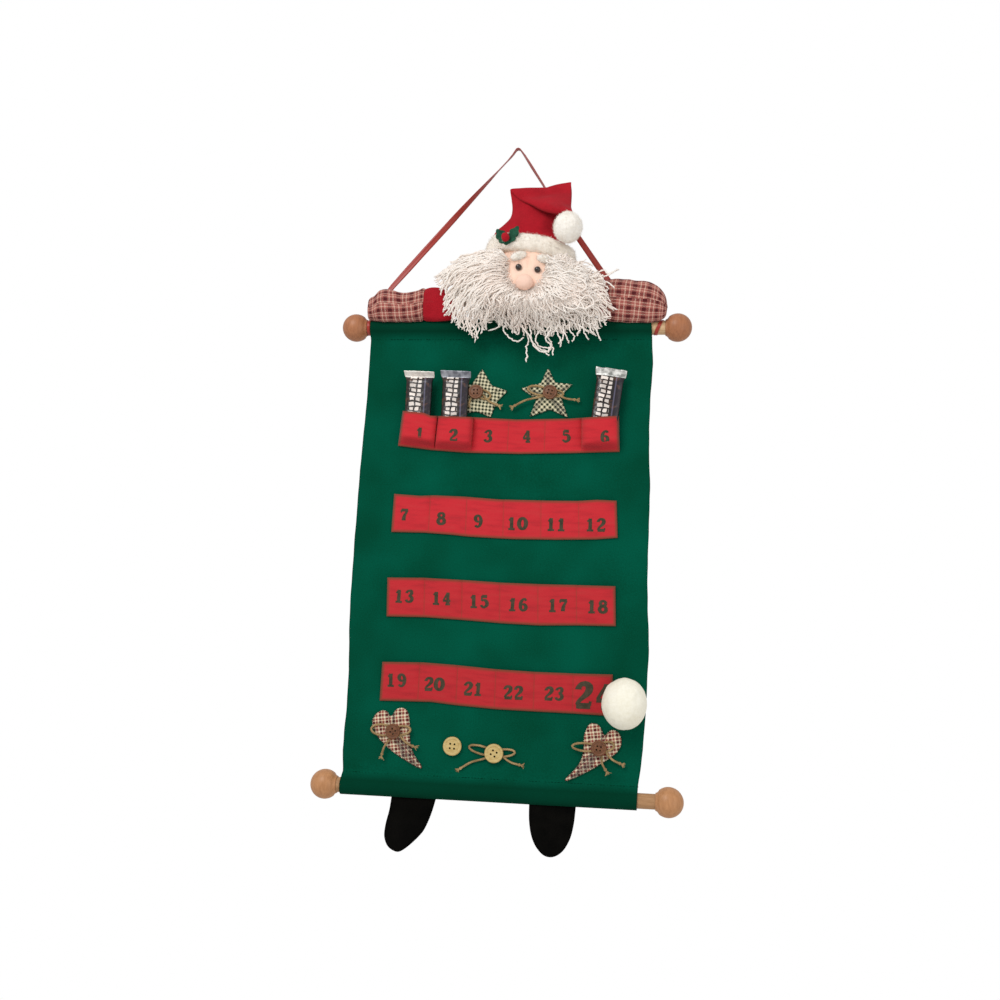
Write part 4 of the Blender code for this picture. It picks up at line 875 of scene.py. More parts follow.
def puffedShape(name, outline, hub, back, thickness, soft, finish, body, node, slotName, rings=14,
                lumps=0.25):
    # a flat shape filled with a little stuffing: thin at its sewn edge and rounding up inside it
    edgeThickness = 0.9

    def place(u, v):
        edgeX, edgeZ = outline[round(u * len(outline)) % len(outline)]
        share = math.sin((1 - abs(2 * v - 1)) * math.pi / 2)
        x = hub[0] + (edgeX - hub[0]) * share
        z = hub[1] + (edgeZ - hub[1]) * share
        near = 0.0 if share > 0.999 else edgeDistance(x, z, outline)
        swell = math.sqrt(1 - (1 - min(1.0, near / soft)) ** 2)
        front = edgeThickness + (thickness - edgeThickness) * swell
        front += lumps * noise.noise(Vector((x / 8, z / 8, back))) * swell
        if v > 0.5:
            return at(x, back - front, z)
        return at(x, back - edgeThickness if v == 0.5 else back, z)

    bm = bentGrid(len(outline), rings * 2, (1, 1), place, closed=True)
    cloth = bm.loops.layers.uv["cloth"]
    for face in bm.faces:
        for loop in face.loops:
            loop[cloth].uv = (loop.vert.co.x, loop.vert.co.z)
    return addPiece(name, bm, [finish], body, node, slotName)


starSettings = {
    "back": -1.0,
    "thickness": 3.2,
    "soft": 6.0,
    "zigzag": 0.35,
    "starLeft": ((-27.5, -46.5), (-16.5, -64.5), (0.5, -70.5), (-10, -82), (-16.5, -99), (-31, -93),
                 (-53, -96), (-44, -80), (-55, -66), (-38, -63.5)),
    "starRight": ((43, -45), (51, -61), (69, -62.5), (57, -75.5), (65.5, -98.5), (46.5, -90), (25.5, -98),
                  (32, -79), (15, -67.5), (36, -61.5)),
}
for name, finish, hub in (("starLeft", ginghamStraight, (-29, -76)),
                          ("starRight", ginghamSlanted, (44, -75))):
    s = starSettings
    piece = puffedShape(name, evenOutline(s[name], False, 1.0, s["zigzag"]), hub, s["back"], s["thickness"],
                        s["soft"], finish, "banner", nodeName(name), "gingham_cotton")

heartSettings = {
    "back": -1.0,
    "thickness": 3.4,
    "soft": 6.5,
    "zigzag": 0.4,
    "heartLeft": ((-105, -414.5), (-110, -409.5), (-116.5, -409.5), (-122.5, -415), (-123.8, -423),
                  (-118.5, -434), (-106, -446), (-90, -456), (-70.5, -464.5), (-80, -450), (-83.5, -440),
                  (-84.6, -430), (-85.6, -418), (-88, -409), (-93, -405.5), (-99.5, -407)),
    "heartRight": ((113, -423.5), (108.5, -415.5), (102.5, -412), (97, -414), (93.2, -423), (92.5, -433),
                   (91.8, -444), (87, -455), (75, -469.5), (96, -460), (112, -450), (124, -441),
                   (129.2, -433), (129, -424), (124.5, -418.5), (118.5, -418.5)),
}
for name, hub in (("heartLeft", (-102, -430)), ("heartRight", (110, -435))):
    s = heartSettings
    piece = puffedShape(name, evenOutline(s[name], True, 1.0, s["zigzag"]), hub, s["back"], s["thickness"],
                        s["soft"], heartPlaid, "banner", nodeName(name), "heart_cotton")

bowSettings = {
    "size": 22.0,
    "step": 0.7,
    "twine": (0.6, 5.0, 0.64),  # how far a ply lies from the middle, length of one turn, radius of a ply
    "endTwine": (0.4, 3.0, 0.55),
    "endKnot": 0.9,
    "frays": 22,
    "fraySpread": 0.65,
    "frayReach": (2.4, 5.6),
    # middle of each bow in mm, its loops as (turn in degrees, reach, width) and its tails as (across, up)
    "bows": {
        "starBowLeft": ((-31.8, -5.5, -72.6), ((170, 0.42, 0.36), (-20, 0.72, 0.42)),
                        ((-0.36, -0.5), (1.02, -0.66))),
        "starBowRight": ((45.4, -5.5, -72.9), ((168, 1.05, 0.42), (-5, 0.68, 0.3)),
                         ((-1.64, -0.62), (1.24, -0.36))),
        "heartBowLeft": ((-100.9, -5.7, -429.1), ((176, 1.05, 0.5), (8, 0.8, 0.4)),
                         ((-0.5, -1.05), (0.95, -0.66))),
        "heartBowRight": ((107.9, -5.7, -436.1), ((178, 1.2, 0.35), (15, 0.7, 0.4)),
                          ((0.95, -0.65), (0.3, -0.95))),
        "buttonBow": ((3.0, -2.2, -446.4), ((168, 1.2, 0.35), (6, 0.95, 0.32)),
                      ((-1.55, -0.72), (1.2, -0.48))),
    },
}


def bowRoute(middle, loops, tails):
    # one length of twine: in along a tail, round both loops and out along the other tail
    size = bowSettings["size"]
    knot = Vector(middle)
    ends = []
    for across, up in tails:
        tip = Vector((across * size, 0, up * size))
        sway = Vector((-tip.z, 0, tip.x)).normalized() * 0.9
        shares = (1.0, 0.85, 0.7, 0.55, 0.4, 0.25)
        ends.append([knot + tip * share + sway * math.sin(share * 7) for share in shares])
    route = ends[0]
    for order, (turn, reach, width) in enumerate(loops):
        heading, out, wide = math.radians(turn), reach * size / 2, width * size / 2
        for k in range(1, 12):
            phase = 2 * math.pi * k / 12
            along, side = out * (1 - math.cos(phase)), wide * math.sin(phase)
            across = along * math.cos(heading) - side * math.sin(heading)
            up = along * math.sin(heading) + side * math.cos(heading)
            route.append(knot + Vector((across, 0.3 - 0.3 * order, up)))
        route.append(knot + Vector((0, -0.3, 0)))
    return roundedPath(route + ends[1][::-1], 4)


def twistedPlies(line, plyRadius, pitch):
    # three strands wound round one another along a line, which is how twine is laid
    paths = [[], [], []]
    done = 0.0
    for k, spot in enumerate(line):
        before, after = line[max(k - 1, 0)], line[min(k + 1, len(line) - 1)]
        heading = (after - before).normalized()
        done += (spot - before).length
        side = heading.cross(backwards).normalized()
        up = side.cross(heading)
        for i, path in enumerate(paths):
            turn = 2 * math.pi * (done / pitch + i / 3)
            path.append(at(*(spot + (side * math.cos(turn) + up * math.sin(turn)) * plyRadius)))
    return paths


def evenSteps(line, step):
    # the same line at even steps
    points, carried = [line[0]], 0.0
    for p, q in zip(line, line[1:]):
        gap = (q - p).length
        place = step - carried
        while place <= gap and gap > 0:
            points.append(p.lerp(q, place / gap))
            place += step
        carried = (carried + gap) % step
    return points


frayChance = random.Random(5)
plyOut, pitch, plyRadius = bowSettings["twine"]
endOut, endPitch, endRadius = bowSettings["endTwine"]
for name, bow in bowSettings["bows"].items():
    line = evenSteps(bowRoute(*bow), bowSettings["step"])
    ends = []
    for tip, before in ((line[0], line[5]), (line[-1], line[-6])):
        away = (tip - before).normalized()
        aside = Vector((-away.z, 0, away.x))
        ring = [tip + (away * math.cos(2.1 * k) + aside * math.sin(2.1 * k)) * bowSettings["endKnot"]
                for k in range(7)]
        ends += twistedPlies(roundedPath(ring, 4), endOut, endPitch)
        for k in range(bowSettings["frays"]):
            spread = frayChance.uniform(-bowSettings["fraySpread"], bowSettings["fraySpread"])
            reach = frayChance.uniform(*bowSettings["frayReach"])
            hair = [tip + (away + aside * spread * share + Vector((0, 0.25 * share, 0))) * reach * share
                    for share in (0.0, 0.35, 0.7, 1.0)]
            ends.append([(*at(*p), 0.5) for p in hair])
    plies = tubeMesh(name, twistedPlies(line, plyOut, pitch), plyRadius * mm)
    twine = addPiece(name, plies, [juteTwine], "banner", nodeName(name), "jute_twine")
    loose = tubeMesh(f"{name}Ends", ends, endRadius * mm)
    frays = addPiece(f"{name}Ends", loose, [juteTwine], "banner", nodeName(name), "jute_twine")
    at(*line[0])
    pathLength(line) * mm
    [at(*p) for p in line]

buttonSettings = {
    # diameter, thickness, spacing of the holes, diameter of a hole
    "brown": (15.5, 2.6, 3.7, 1.9),
    "pale": (19.0, 3.0, 4.4, 2.1),
    # half of the turned line: along as a share of half the thickness, radius as a share of the edge's
    "profile": ((-0.62, 0), (-0.62, 0.6), (-0.5, 0.68), (-0.95, 0.76), (-1, 0.84), (-0.9, 0.95), (-0.4, 1),
                (0.5, 1), (1, 0.93), (1, 0)),
    # x, z, depth of its back, turn
    "places": {
        "starButtonLeft": (-32.4, -73.0, -6.8, 0.0),
        "starButtonRight": (46.4, -72.8, -6.8, 0.3),
        "heartButtonLeft": (-100.9, -429.1, -7.0, 0.6),
        "heartButtonRight": (107.9, -436.1, -7.0, 0.2),
        "paleButtonLeft": (-40.0, -441.2, -1.0, 0.06),
        "paleButtonRight": (3.0, -446.2, -3.3, 0.5),
    },
}


def roundButton(diameter, thickness, holePitch, holeDiameter):
    # a turned disc with a raised rim and four drilled holes, made lying on the y axis about the origin
    profile = [(along * thickness / 2, out * diameter / 2) for along, out in buttonSettings["profile"]]
    disc = turned(profile, (0, 1, 0), (0, 0, 0))
    drills = bmesh.new()
    for across in (-1, 1):
        for up in (-1, 1):
            place = Matrix.Translation((across * holePitch / 2 * mm, 0, up * holePitch / 2 * mm))
            bmesh.ops.create_cone(
                drills, cap_ends=True, segments=14, radius1=holeDiameter / 2 * mm,
                radius2=holeDiameter / 2 * mm, depth=thickness * 2 * mm,
                matrix=place @ Matrix.Rotation(math.pi / 2, 4, "X"))
    meshes = {"disc": disc, "drills": drills}
    holders = [bpy.data.objects.new(word, asMesh(word, bm)) for word, bm in meshes.items()]
    for holder in holders:
        bpy.context.scene.collection.objects.link(holder)
    cut = holders[0].modifiers.new("holes", "BOOLEAN")
    cut.operation = "DIFFERENCE"
    cut.object = holders[1]
    cut.solver = "EXACT"
    made = bpy.data.meshes.new_from_object(holders[0].evaluated_get(bpy.context.evaluated_depsgraph_get()))
    for holder in holders:
        bpy.data.objects.remove(holder)
    return made


buttonDiscs = {kind: roundButton(*buttonSettings[kind]) for kind in ("brown", "pale")}
for name, (x, z, back, spin) in buttonSettings["places"].items():
    kind, finish = ("pale", paleButtonWood) if name.startswith("pale") else ("brown", brownButtonWood)
    middle = at(x, back - buttonSettings[kind][1] / 2, z)
    disc = buttonDiscs[kind].copy()
    disc.transform(Matrix.Translation(middle) @ Matrix.Rotation(spin, 4, "Y"))
    piece = addPiece(name, disc, [finish], "banner", nodeName(name), f"{kind}_button")
    piece.data.set_sharp_from_angle(angle=math.radians(38))

# wrapped bar: printed film, glossy and dark brown, with a row of plain cream blocks and a thin lilac band of
# painted reflection
filmWidth = 28.0
barFilm, filmTree, filmShader = startMaterial("printedWrapperFilm", {
    "Roughness": 0.3, "Specular IOR Level": 0.4, "Coat Weight": 0.15, "Coat Roughness": 0.15})
filmPlace = addNode(filmTree, "TexCoord").outputs["UV"]
filmCrease = addNode(
    filmTree, "TexNoise", {"Vector": filmPlace, "Scale": 1000 / 6.0, "Detail": 3.0, "Distortion": 1.0})
filmBend = addNode(filmTree, "TexNoise", {"Vector": filmPlace, "Scale": 1000 / 9.0, "Detail": 2.0})
filmShift = addNode(filmTree, "VectorMath", {0: filmBend.outputs[1], 3: 0.004}, operation="SCALE")
filmMoved = addNode(filmTree, "VectorMath", {0: filmPlace, 1: filmShift.outputs[0]}, operation="ADD")
filmTurned = addNode(filmTree, "Mapping", {"Vector": filmMoved.outputs[0], "Rotation": (0.0, 0.0, 0.06)})
filmBlocks = addNode(filmTree, "TexBrick", {
    "Vector": filmTurned.outputs[0], "Color1": (1, 1, 1, 1), "Color2": (0.6, 0.6, 0.6, 1),
    "Mortar": (0, 0, 0, 1), "Scale": 1000 / 15.0, "Mortar Size": 0.06, "Mortar Smooth": 0.1,
    "Brick Width": 0.66, "Row Height": 0.33}, offset=0.35, squash=0.6, squash_frequency=2)
filmAxes = addNode(filmTree, "SeparateXYZ", {0: filmPlace})
filmAcross = addNode(filmTree, "Math", {0: filmAxes.outputs[0], 1: 1000 / filmWidth}, operation="MULTIPLY")
filmRow = addNode(filmTree, "ValToRGB", {0: filmAcross.outputs[0]}, ramp=(
    (0.0, "#000000"), (0.15, "#000000"), (0.17, "#FFFFFF"), (0.6, "#FFFFFF"), (0.62, "#000000"),
    (1.0, "#000000")))
filmMask = addNode(filmTree, "Math", {0: filmBlocks.outputs[0], 1: filmRow.outputs[0]}, operation="MULTIPLY")
# the film's own browns across the bar, with a lilac band down its right side that is painted reflection
filmToneAndPaintedSheen = addNode(filmTree, "ValToRGB", {0: filmAcross.outputs[0]}, ramp=(
    (0.0, "#2A1812"), (0.12, "#180D0A"), (0.7, "#120A09"), (0.74, "#5E5A70"), (0.78, "#1A1216"),
    (0.86, "#2A222C"), (1.0, "#100A0D")))
# gold on the raised creases: printed gold, and painted glints where the creases catch the light
filmGoldAndPaintedGlint = addNode(
    filmTree, "ValToRGB", {0: filmCrease.outputs[0]}, ramp=((0.56, "#000000"), (0.75, "#6A4428")))
filmGround = addNode(
    filmTree, "Mix", {0: 0.8, 6: filmToneAndPaintedSheen.outputs[0], 7: filmGoldAndPaintedGlint.outputs[0]}, data_type="RGBA",
    blend_type="ADD")
filmColour = addNode(
    filmTree, "Mix", {0: filmMask.outputs[0], 6: filmGround.outputs[2], 7: hexColour("#F1E6DC")},
    data_type="RGBA")
finishSurface(filmTree, filmShader, filmColour.outputs[2], filmCrease.outputs[0], 0.3, 0.6)


def foilEnd(name, light, dark):
    # heat-sealed end of the wrapper: pale foil pressed into fine upright ribs
    material, tree, shader = startMaterial(
        name, {"Roughness": 0.32, "Metallic": 0.35, "Specular IOR Level": 0.6})
    place = addNode(tree, "TexCoord").outputs["UV"]
    ribs = addNode(tree, "TexWave", {"Vector": place, "Scale": 1000 / 5.0, "Distortion": 1.5})
    folds = addNode(tree, "TexNoise", {"Vector": place, "Scale": 1000 / 8.0, "Detail": 2.0})
    shade = addNode(tree, "ValToRGB", {0: folds.outputs[0]}, ramp=((0.4, dark), (0.58, light)))
    finishSurface(tree, shader, shade.outputs[0], ribs.outputs[1], 0.3, 0.3)
    return material


barSettings = {
    "middleY": -9.4,
    "footZ": -132.4,
    "flapStart": 74.6,
    "flapSlope": 0.035,  # the sealed end is cut a little askew
    "roundness": 0.62,
    # along the bar: height, half width, half thickness
    "sections": ((8.0, 12.8, 0.45), (9.0, 13.0, 0.5), (11.5, 13.6, 3.2), (14.0, 13.8, 3.7),
                 (40.0, 13.9, 3.8), (64.0, 14.0, 4.0), (69.0, 14.0, 4.0), (72.5, 14.6, 2.6),
                 (74.6, 15.8, 0.7), (78.0, 16.3, 0.5), (82.4, 16.3, 0.45)),
    # middle across, lean, foil, crumple, how far the end leans forward in degrees, lift of the end
    "bars": {
        "bar_1": (-93.2, 0.0, foilEnd("creamFoilEnd", "#FBF6EE", "#E2DAD2"), 0.4, 52, 0.0),
        "bar_2": (-53.9, 0.0, foilEnd("greyFoilEnd", "#A9ABB4", "#6C6E78"), 0.3, 44, 0.0),
        "bar_6": (101.0, 6.4, foilEnd("silverFoilEnd", "#F4F3EE", "#8E8F8A"), 1.8, 22, 2.6),
    },
}


def barPlace(u, v, crumple, leanDegrees, lift):
    # place in mm from the bar's foot, along its own axes
    s = barSettings
    foot = s["sections"][0][0]
    height = foot + v * (s["sections"][-1][0] - foot)
    wide = easeBetween([(row[0], row[1]) for row in s["sections"]], height)
    deep = easeBetween([(row[0], row[2]) for row in s["sections"]], height)
    turn = 2 * math.pi * u + math.pi / 2
    across, ahead = math.cos(turn), math.sin(turn)
    x = -math.copysign(abs(across) ** s["roundness"], across) * wide
    y = math.copysign(abs(ahead) ** s["roundness"], ahead) * deep
    y += 0.35 * noise.noise(Vector((x / 5, height / 4, 2.0))) * min(1.0, deep)
    # the sealed end leans forward and is crumpled
    if height > s["flapStart"]:
        beyond = height - s["flapStart"]
        lean = math.radians(leanDegrees)
        y -= beyond * math.sin(lean)
        y += crumple * noise.noise(Vector((x / 6, beyond / 5, 7.0))) * min(1, beyond / 3)
        height = s["flapStart"] + beyond * math.cos(lean) + 0.4 * crumple * noise.noise(Vector((x / 7, 1, 1)))
    slope = s["flapSlope"] * x * smoothStep((height - 70) / 6)
    return Vector((x, y, height + lift * smoothStep((height - 50) / 24) - slope))


for name, (middleX, leanDegrees, foil, crumple, endLean, endLift) in barSettings["bars"].items():
    lean = Matrix.Rotation(math.radians(leanDegrees), 4, "Y")
    foot = at(middleX, barSettings["middleY"], barSettings["footZ"])

    def barSpot(u, v):
        return foot + (lean @ barPlace(u, v, crumple, endLean, endLift)) * mm

    def onBar(spot):
        return lean.inverted() @ ((spot - foot) / mm)

    bm = bentGrid(56, 64, (1, 1), barSpot, capped=True)
    cloth = bm.loops.layers.uv["cloth"]
    for face in bm.faces:
        local = onBar(face.calc_center_median())
        flapEdge = barSettings["flapStart"] - 0.6 + endLift - barSettings["flapSlope"] * local.x
        face.material_index = 1 if local.z > flapEdge else 0
        for loop in face.loops:
            local = onBar(loop.vert.co)
            loop[cloth].uv = ((local.x + filmWidth / 2) * mm, local.z * mm)
    addPiece(f"wrappedBar{name[-1]}", bm, [barFilm, foil], name, name, "foil_wrapper")

print("Stage 7: boots and white ball")

bootSettings = {
    "feltThickness": 1.75,
    "soft": 1.2,
    # the two layers of felt: depth of the back, shift across and up
    "layers": {"Back": (1.8, 0.5, 0.3), "Front": (0.0, 0.0, 0.0)},
    "seam": (0.89, 0.9),  # size of the line of stitches, as shares of the outline's
    "seamTop": -496,
    "spacing": 1.3,
    "stitch": (-1.75, -1.95, -1.75),  # depth of a stitch at its ends and middle
    "stitchRadius": 0.25,
    "longestStitch": 6,
    "outlines": {
        "bootLeft": ((-100, -493.9), (-101.5, -507), (-104.5, -521), (-105.2, -533), (-101.5, -542),
                     (-95, -546.5), (-88.5, -547), (-80, -541), (-70, -531), (-64.5, -523), (-59, -509),
                     (-55, -493.9)),
        "bootRight": ((40, -493.9), (40.5, -509), (43, -523), (48, -534), (56, -542), (65, -543.3),
                      (74, -538), (81, -526), (84.5, -511), (86, -493.9)),
    },
}
for name, corners in bootSettings["outlines"].items():
    node = nodeName(name)
    hubX, hubZ = (sum(values) / len(corners) for values in zip(*corners))
    for word, (back, shiftX, shiftZ) in bootSettings["layers"].items():
        line = roundedOutline([(x + shiftX, z + shiftZ) for x, z in corners], 6)
        outline = evenOutline(line, False, bootSettings["spacing"])
        puffedShape(name + word, outline, (hubX, hubZ), back, bootSettings["feltThickness"],
                    bootSettings["soft"], blackFelt, node, node, "black_felt", rings=10, lumps=0.2)
    # stitches inside the front layer's edge
    across, up = bootSettings["seam"]
    seam = [(hubX + (x - hubX) * across, hubZ + (z - hubZ) * up)
            for x, z in outline if z < bootSettings["seamTop"]]
    stitches = [[at(x, y, z) for (x, z), y in zip(seam[i:i + 3], bootSettings["stitch"])]
                for i in range(0, len(seam) - 3, 3)
                if math.dist(seam[i], seam[i + 2]) < bootSettings["longestStitch"]]
    thread = tubeMesh("bootStitches", stitches, bootSettings["stitchRadius"] * mm)
    addPiece(f"{name}Stitches", thread, [blackFelt], node)

ballSettings = {"middle": (132.4, -25.0, -391.6), "radii": (22.4, 23.2, 25.4), "facets": 0.018}


def ballSwell(n):
    # fleece pulled into soft facets
    facets = abs(noise.noise(n * 1.6 + Vector((4, 1, 2)))) * 2 + 0.4 * noise.noise(n * 5)
    return 1 - ballSettings["facets"] * facets


bm = roundMesh(ballSettings["middle"], ballSettings["radii"], ballSwell)
whiteBall = addPiece("whiteBall", bm, [ballFleece], "banner", "snowball", "white_fleece")

print("Stage 8: arms and mittens")

armSettings = {
    "middleY": -10.5,
    "wrinkle": 1.1,
    # along the arm from its outer end: x, bottom z, top z, half depth
    "sleeveLeft": ((-152.8, 15.0, 22.0, 2.2), (-153.8, 9.0, 27.0, 4.6), (-152.4, 6.0, 30.4, 6.6),
                   (-147.4, 4.6, 33.0, 8.2), (-142.2, 4.0, 39.0, 8.8), (-135.0, 3.6, 40.4, 9.4),
                   (-127.0, 3.4, 38.6, 9.6), (-117.0, 3.4, 36.0, 9.3), (-109.0, 3.6, 36.4, 9.3),
                   (-101.0, 3.8, 38.6, 9.3), (-95.0, 4.4, 41.0, 8.8), (-92.0, 7.0, 39.4, 7.6)),
    "sleeveRight": ((166.3, 15.0, 20.0, 2.0), (165.6, 10.5, 27.0, 5.4), (163.0, 6.6, 34.0, 7.8),
                    (157.0, 3.8, 41.0, 9.2), (148.0, 2.4, 46.0, 9.8), (136.0, 2.2, 48.0, 10.0),
                    (124.0, 2.6, 49.6, 10.0), (112.0, 3.4, 50.0, 9.8), (104.0, 5.0, 49.0, 9.0),
                    (101.0, 8.0, 45.5, 7.6)),
    "mittenLeft": ((-93.4, 7.5, 37.5, 7.2), (-90.0, 4.6, 40.2, 8.4), (-82.0, 3.8, 41.4, 9.0),
                   (-72.0, 4.0, 39.4, 8.8), (-63.0, 5.6, 35.0, 7.6), (-58.0, 9.5, 30.5, 5.6),
                   (-56.2, 16.0, 24.0, 2.6)),
    "mittenRight": ((101.4, 10.0, 40.0, 7.4), (98.5, 9.0, 41.5, 8.6), (90.0, 9.4, 41.4, 9.2),
                    (80.0, 10.8, 40.0, 8.8), (71.0, 13.5, 36.5, 7.6), (66.0, 17.0, 32.5, 5.4),
                    (64.4, 22.0, 28.0, 2.6)),
}


def stuffedLimb(name, finish, slotName):
    rows = [Vector((x, (low + high) / 2, (high - low) / 2)) for x, low, high, deep in armSettings[name]]
    depths = [Vector((deep, 0, 0)) for x, low, high, deep in armSettings[name]]
    line, deepLine = roundedPath(rows, 7), roundedPath(depths, 7)
    length = sum(abs(q.x - p.x) for p, q in zip(rows, rows[1:]))
    around = math.pi * (rows[len(rows) // 2].z + depths[len(rows) // 2].x)

    def place(u, v):
        k = round(v * (len(line) - 1))
        turn = 2 * math.pi * u
        edge = min(k, len(line) - 1 - k)
        squeeze = 1.0 if edge > 0 else 0.05
        x, middle, tall = line[k]
        # the cloth is gathered at both ends and wrinkled between them
        gather = math.exp(-edge / 5.0) * 0.10 * math.sin(11 * turn)
        spot = Vector((x / 9, math.cos(turn) * 1.6 + x / 30, math.sin(turn) * 1.6))
        fold = armSettings["wrinkle"] * noise.noise(spot)
        y = armSettings["middleY"] - math.cos(turn) * (deepLine[k].x * (1 + gather) + fold) * squeeze
        z = middle + math.sin(turn) * (tall * (1 + gather * 0.6) + fold * 0.7) * squeeze
        return at(x + noise.noise(Vector((turn, 3, 3))) * math.exp(-edge / 3.0), y, z)

    bm = bentGrid(72, len(line) - 1, (around, length), place, capped=True)
    piece = addPiece(name, bm, [finish], "banner", nodeName(name), slotName)


for word, finish, slotName in (("sleeve", pinkPlaid, "plaid_cotton"), ("mitten", redFelt, "red_felt")):
    for side in ("Left", "Right"):
        stuffedLimb(word + side, finish, slotName)

print("Stage 9: head, hat and face")

headMiddle, headRadii = (22.0, -18.25, 46.15), (43.6, 21.7, 45.6)


def headSurface(x, z):
    # how far forward the plain head is at a place seen from the front
    across, up = (x - headMiddle[0]) / headRadii[0], (z - headMiddle[2]) / headRadii[2]
    return headMiddle[1] - headRadii[1] * math.sqrt(max(0.0, 1 - across * across - up * up))


faceSettings = {
    # soft modelling of the face: x, z, spread across, spread up, how far it swells or is drawn in
    "hollows": ((22.5, 55.0, 2.0, 9.0, -2.2), (12.0, 53.0, 4.5, 4.5, -1.6), (32.5, 51.5, 4.5, 4.5, -1.6),
                (8.0, 41.0, 8.0, 6.5, 2.0), (36.0, 39.0, 8.0, 6.5, 2.0), (16.0, 61.0, 4.0, 4.0, 1.0),
                (30.0, 60.0, 4.0, 4.0, 1.0), (21.0, 44.0, 5.0, 3.5, 1.2)),
    "nose": (19.0, 35.4, 9.2, 8.4, 8.0),
    "eyes": ((12.0, 53.0), (32.0, 50.0)),
    "eyeDiameter": 6.7,
    "brows": ((11.4, 65.6, -16.0), (38.8, 61.8, 20.0)),
    "browRadii": (8.6, 4.2, 4.4),
    "browFibres": (420, 2.8, 0.12),  # how many, length, radius
}
bm = bmesh.new()
bmesh.ops.create_icosphere(bm, subdivisions=6, radius=1.0)
for vert in bm.verts:
    n = vert.co.copy()
    x, y, z = (m + r * c for m, r, c in zip(headMiddle, headRadii, n))
    if n.y < 0:
        for spotX, spotZ, wide, tall, out in faceSettings["hollows"]:
            y -= out * math.exp(-((x - spotX) / wide) ** 2 - ((z - spotZ) / tall) ** 2) * -n.y
    y += 0.25 * noise.noise(Vector((x / 5, y / 5, z / 5)))
    vert.co = at(x, y, z)
head = addPiece("stuffedHead", bm, [skinCloth], "banner", "head", "skin_cloth")


def shortFibres(name, piece, count, length, radius, body, node):
    # loose fibres that stand on a fleecy piece's surface, leaning this way and that
    chance = random.Random(count)
    mesh = piece.data
    mesh.calc_loop_triangles()
    triangles = mesh.loop_triangles
    areas = [triangle.area for triangle in triangles]
    hairs = []
    for triangle in chance.choices(triangles, weights=areas, k=count):
        a, b, c = (mesh.vertices[i].co for i in triangle.vertices)
        s, w = chance.random(), chance.random()
        if s + w > 1:
            s, w = 1 - s, 1 - w
        root = a + (b - a) * s + (c - a) * w
        lean = Vector([chance.gauss(0, 0.6) for k in range(3)])
        heading = (triangle.normal + lean).normalized() * length * mm * chance.uniform(0.5, 1.1)
        bend = Vector([chance.gauss(0, 0.25) for k in range(3)]) * length * mm
        hairs.append([
            (*(root - heading * 0.1), 1.0), (*(root + heading * 0.5), 0.9), (*(root + heading + bend), 0.4)])
    addPiece(name, tubeMesh(name, hairs, radius * mm), list(mesh.materials), body, node, "white_fleece")


def softBulb(name, middle, radii, finish, node, slotName, lumps, turn=0.0, scale=1.4):
    def swell(n):
        return 1 + lumps * noise.noise(n * scale + Vector(middle))

    return addPiece(name, roundMesh(middle, radii, swell, turn, 5), [finish], "banner", node, slotName)


noseX, noseZ, noseWide, noseTall, noseDeep = faceSettings["nose"]
softBulb("softNose", (noseX, headSurface(noseX, noseZ) - 3.0, noseZ), (noseWide, noseDeep, noseTall),
         noseCloth, "nose", "skin_cloth", 0.06)
for (x, z), word in zip(faceSettings["eyes"], ("Left", "Right")):
    radius = faceSettings["eyeDiameter"] / 2
    softBulb(f"beadEye{word}", (x, headSurface(x, z) - radius * 0.25, z), (radius,) * 3, blackBead,
             f"eye_{word.lower()}", "black_bead", 0.0)
for (x, z, turn), word in zip(faceSettings["brows"], ("Left", "Right")):
    node = f"eyebrow_{word.lower()}"
    brow = softBulb(f"fluffyBrow{word}", (x, headSurface(x, z) - 1.6, z), faceSettings["browRadii"],
                    browFleece, node, "white_fleece", 0.14, turn, 2.0)
    shortFibres(f"browFibres{word}", brow, *faceSettings["browFibres"], "banner", node)

brimSettings = {
    "width": 95.0,
    "depth": 48.0,
    "roll": 15.2,
    "height": 19.5,
    "rise": 37.0,
    "tiltDegrees": 7.0,
    "lumps": 0.8,
    "fibres": (4200, 2.2, 0.1),
}


def brimMiddle(turn, out=0.0):
    s = brimSettings
    across, ahead = s["width"] / 2 - s["roll"] / 2 + out, s["depth"] / 2 - s["roll"] / 2 + out
    x = across * math.cos(turn)
    return Vector((headMiddle[0] + x, headMiddle[1] - ahead * math.sin(turn),
                   headMiddle[2] + s["rise"] - x * math.tan(math.radians(s["tiltDegrees"]))))


def brimPlace(u, v):
    ring, around = 2 * math.pi * v, 2 * math.pi * u
    spot = brimMiddle(ring)
    out = Vector((math.cos(ring), -math.sin(ring), 0))
    lump = noise.noise(spot / 7 + Vector((around, 0, 0))) + 0.5 * noise.noise(spot / 2.5)
    lump *= brimSettings["lumps"]
    squared = [math.copysign(abs(c) ** 0.85, c) for c in (math.cos(around), math.sin(around))]
    spot += out * squared[0] * (brimSettings["roll"] / 2 + lump)
    # the left end is drawn out at its foot, and the right end hangs lower round the temple
    left, droop = smoothStep((2 - spot.x) / 24), smoothStep((spot.x - 30) / 38)
    rise = squared[1] * (brimSettings["height"] / 2 + lump + 1.5 * droop + 1.5 * left)
    spot += Vector((4.6 * left * squared[1], 0, rise - 2.0 - 6.0 * droop - 0.5 * left))
    return at(*spot)


brim = addPiece("fleeceBrim", bentGrid(40, 180, (55, 230), brimPlace, closed=True), [brimFleece], "banner",
                "hat_brim", "white_fleece")
shortFibres("brimFibres", brim, *brimSettings["fibres"], "banner", "hat_brim")

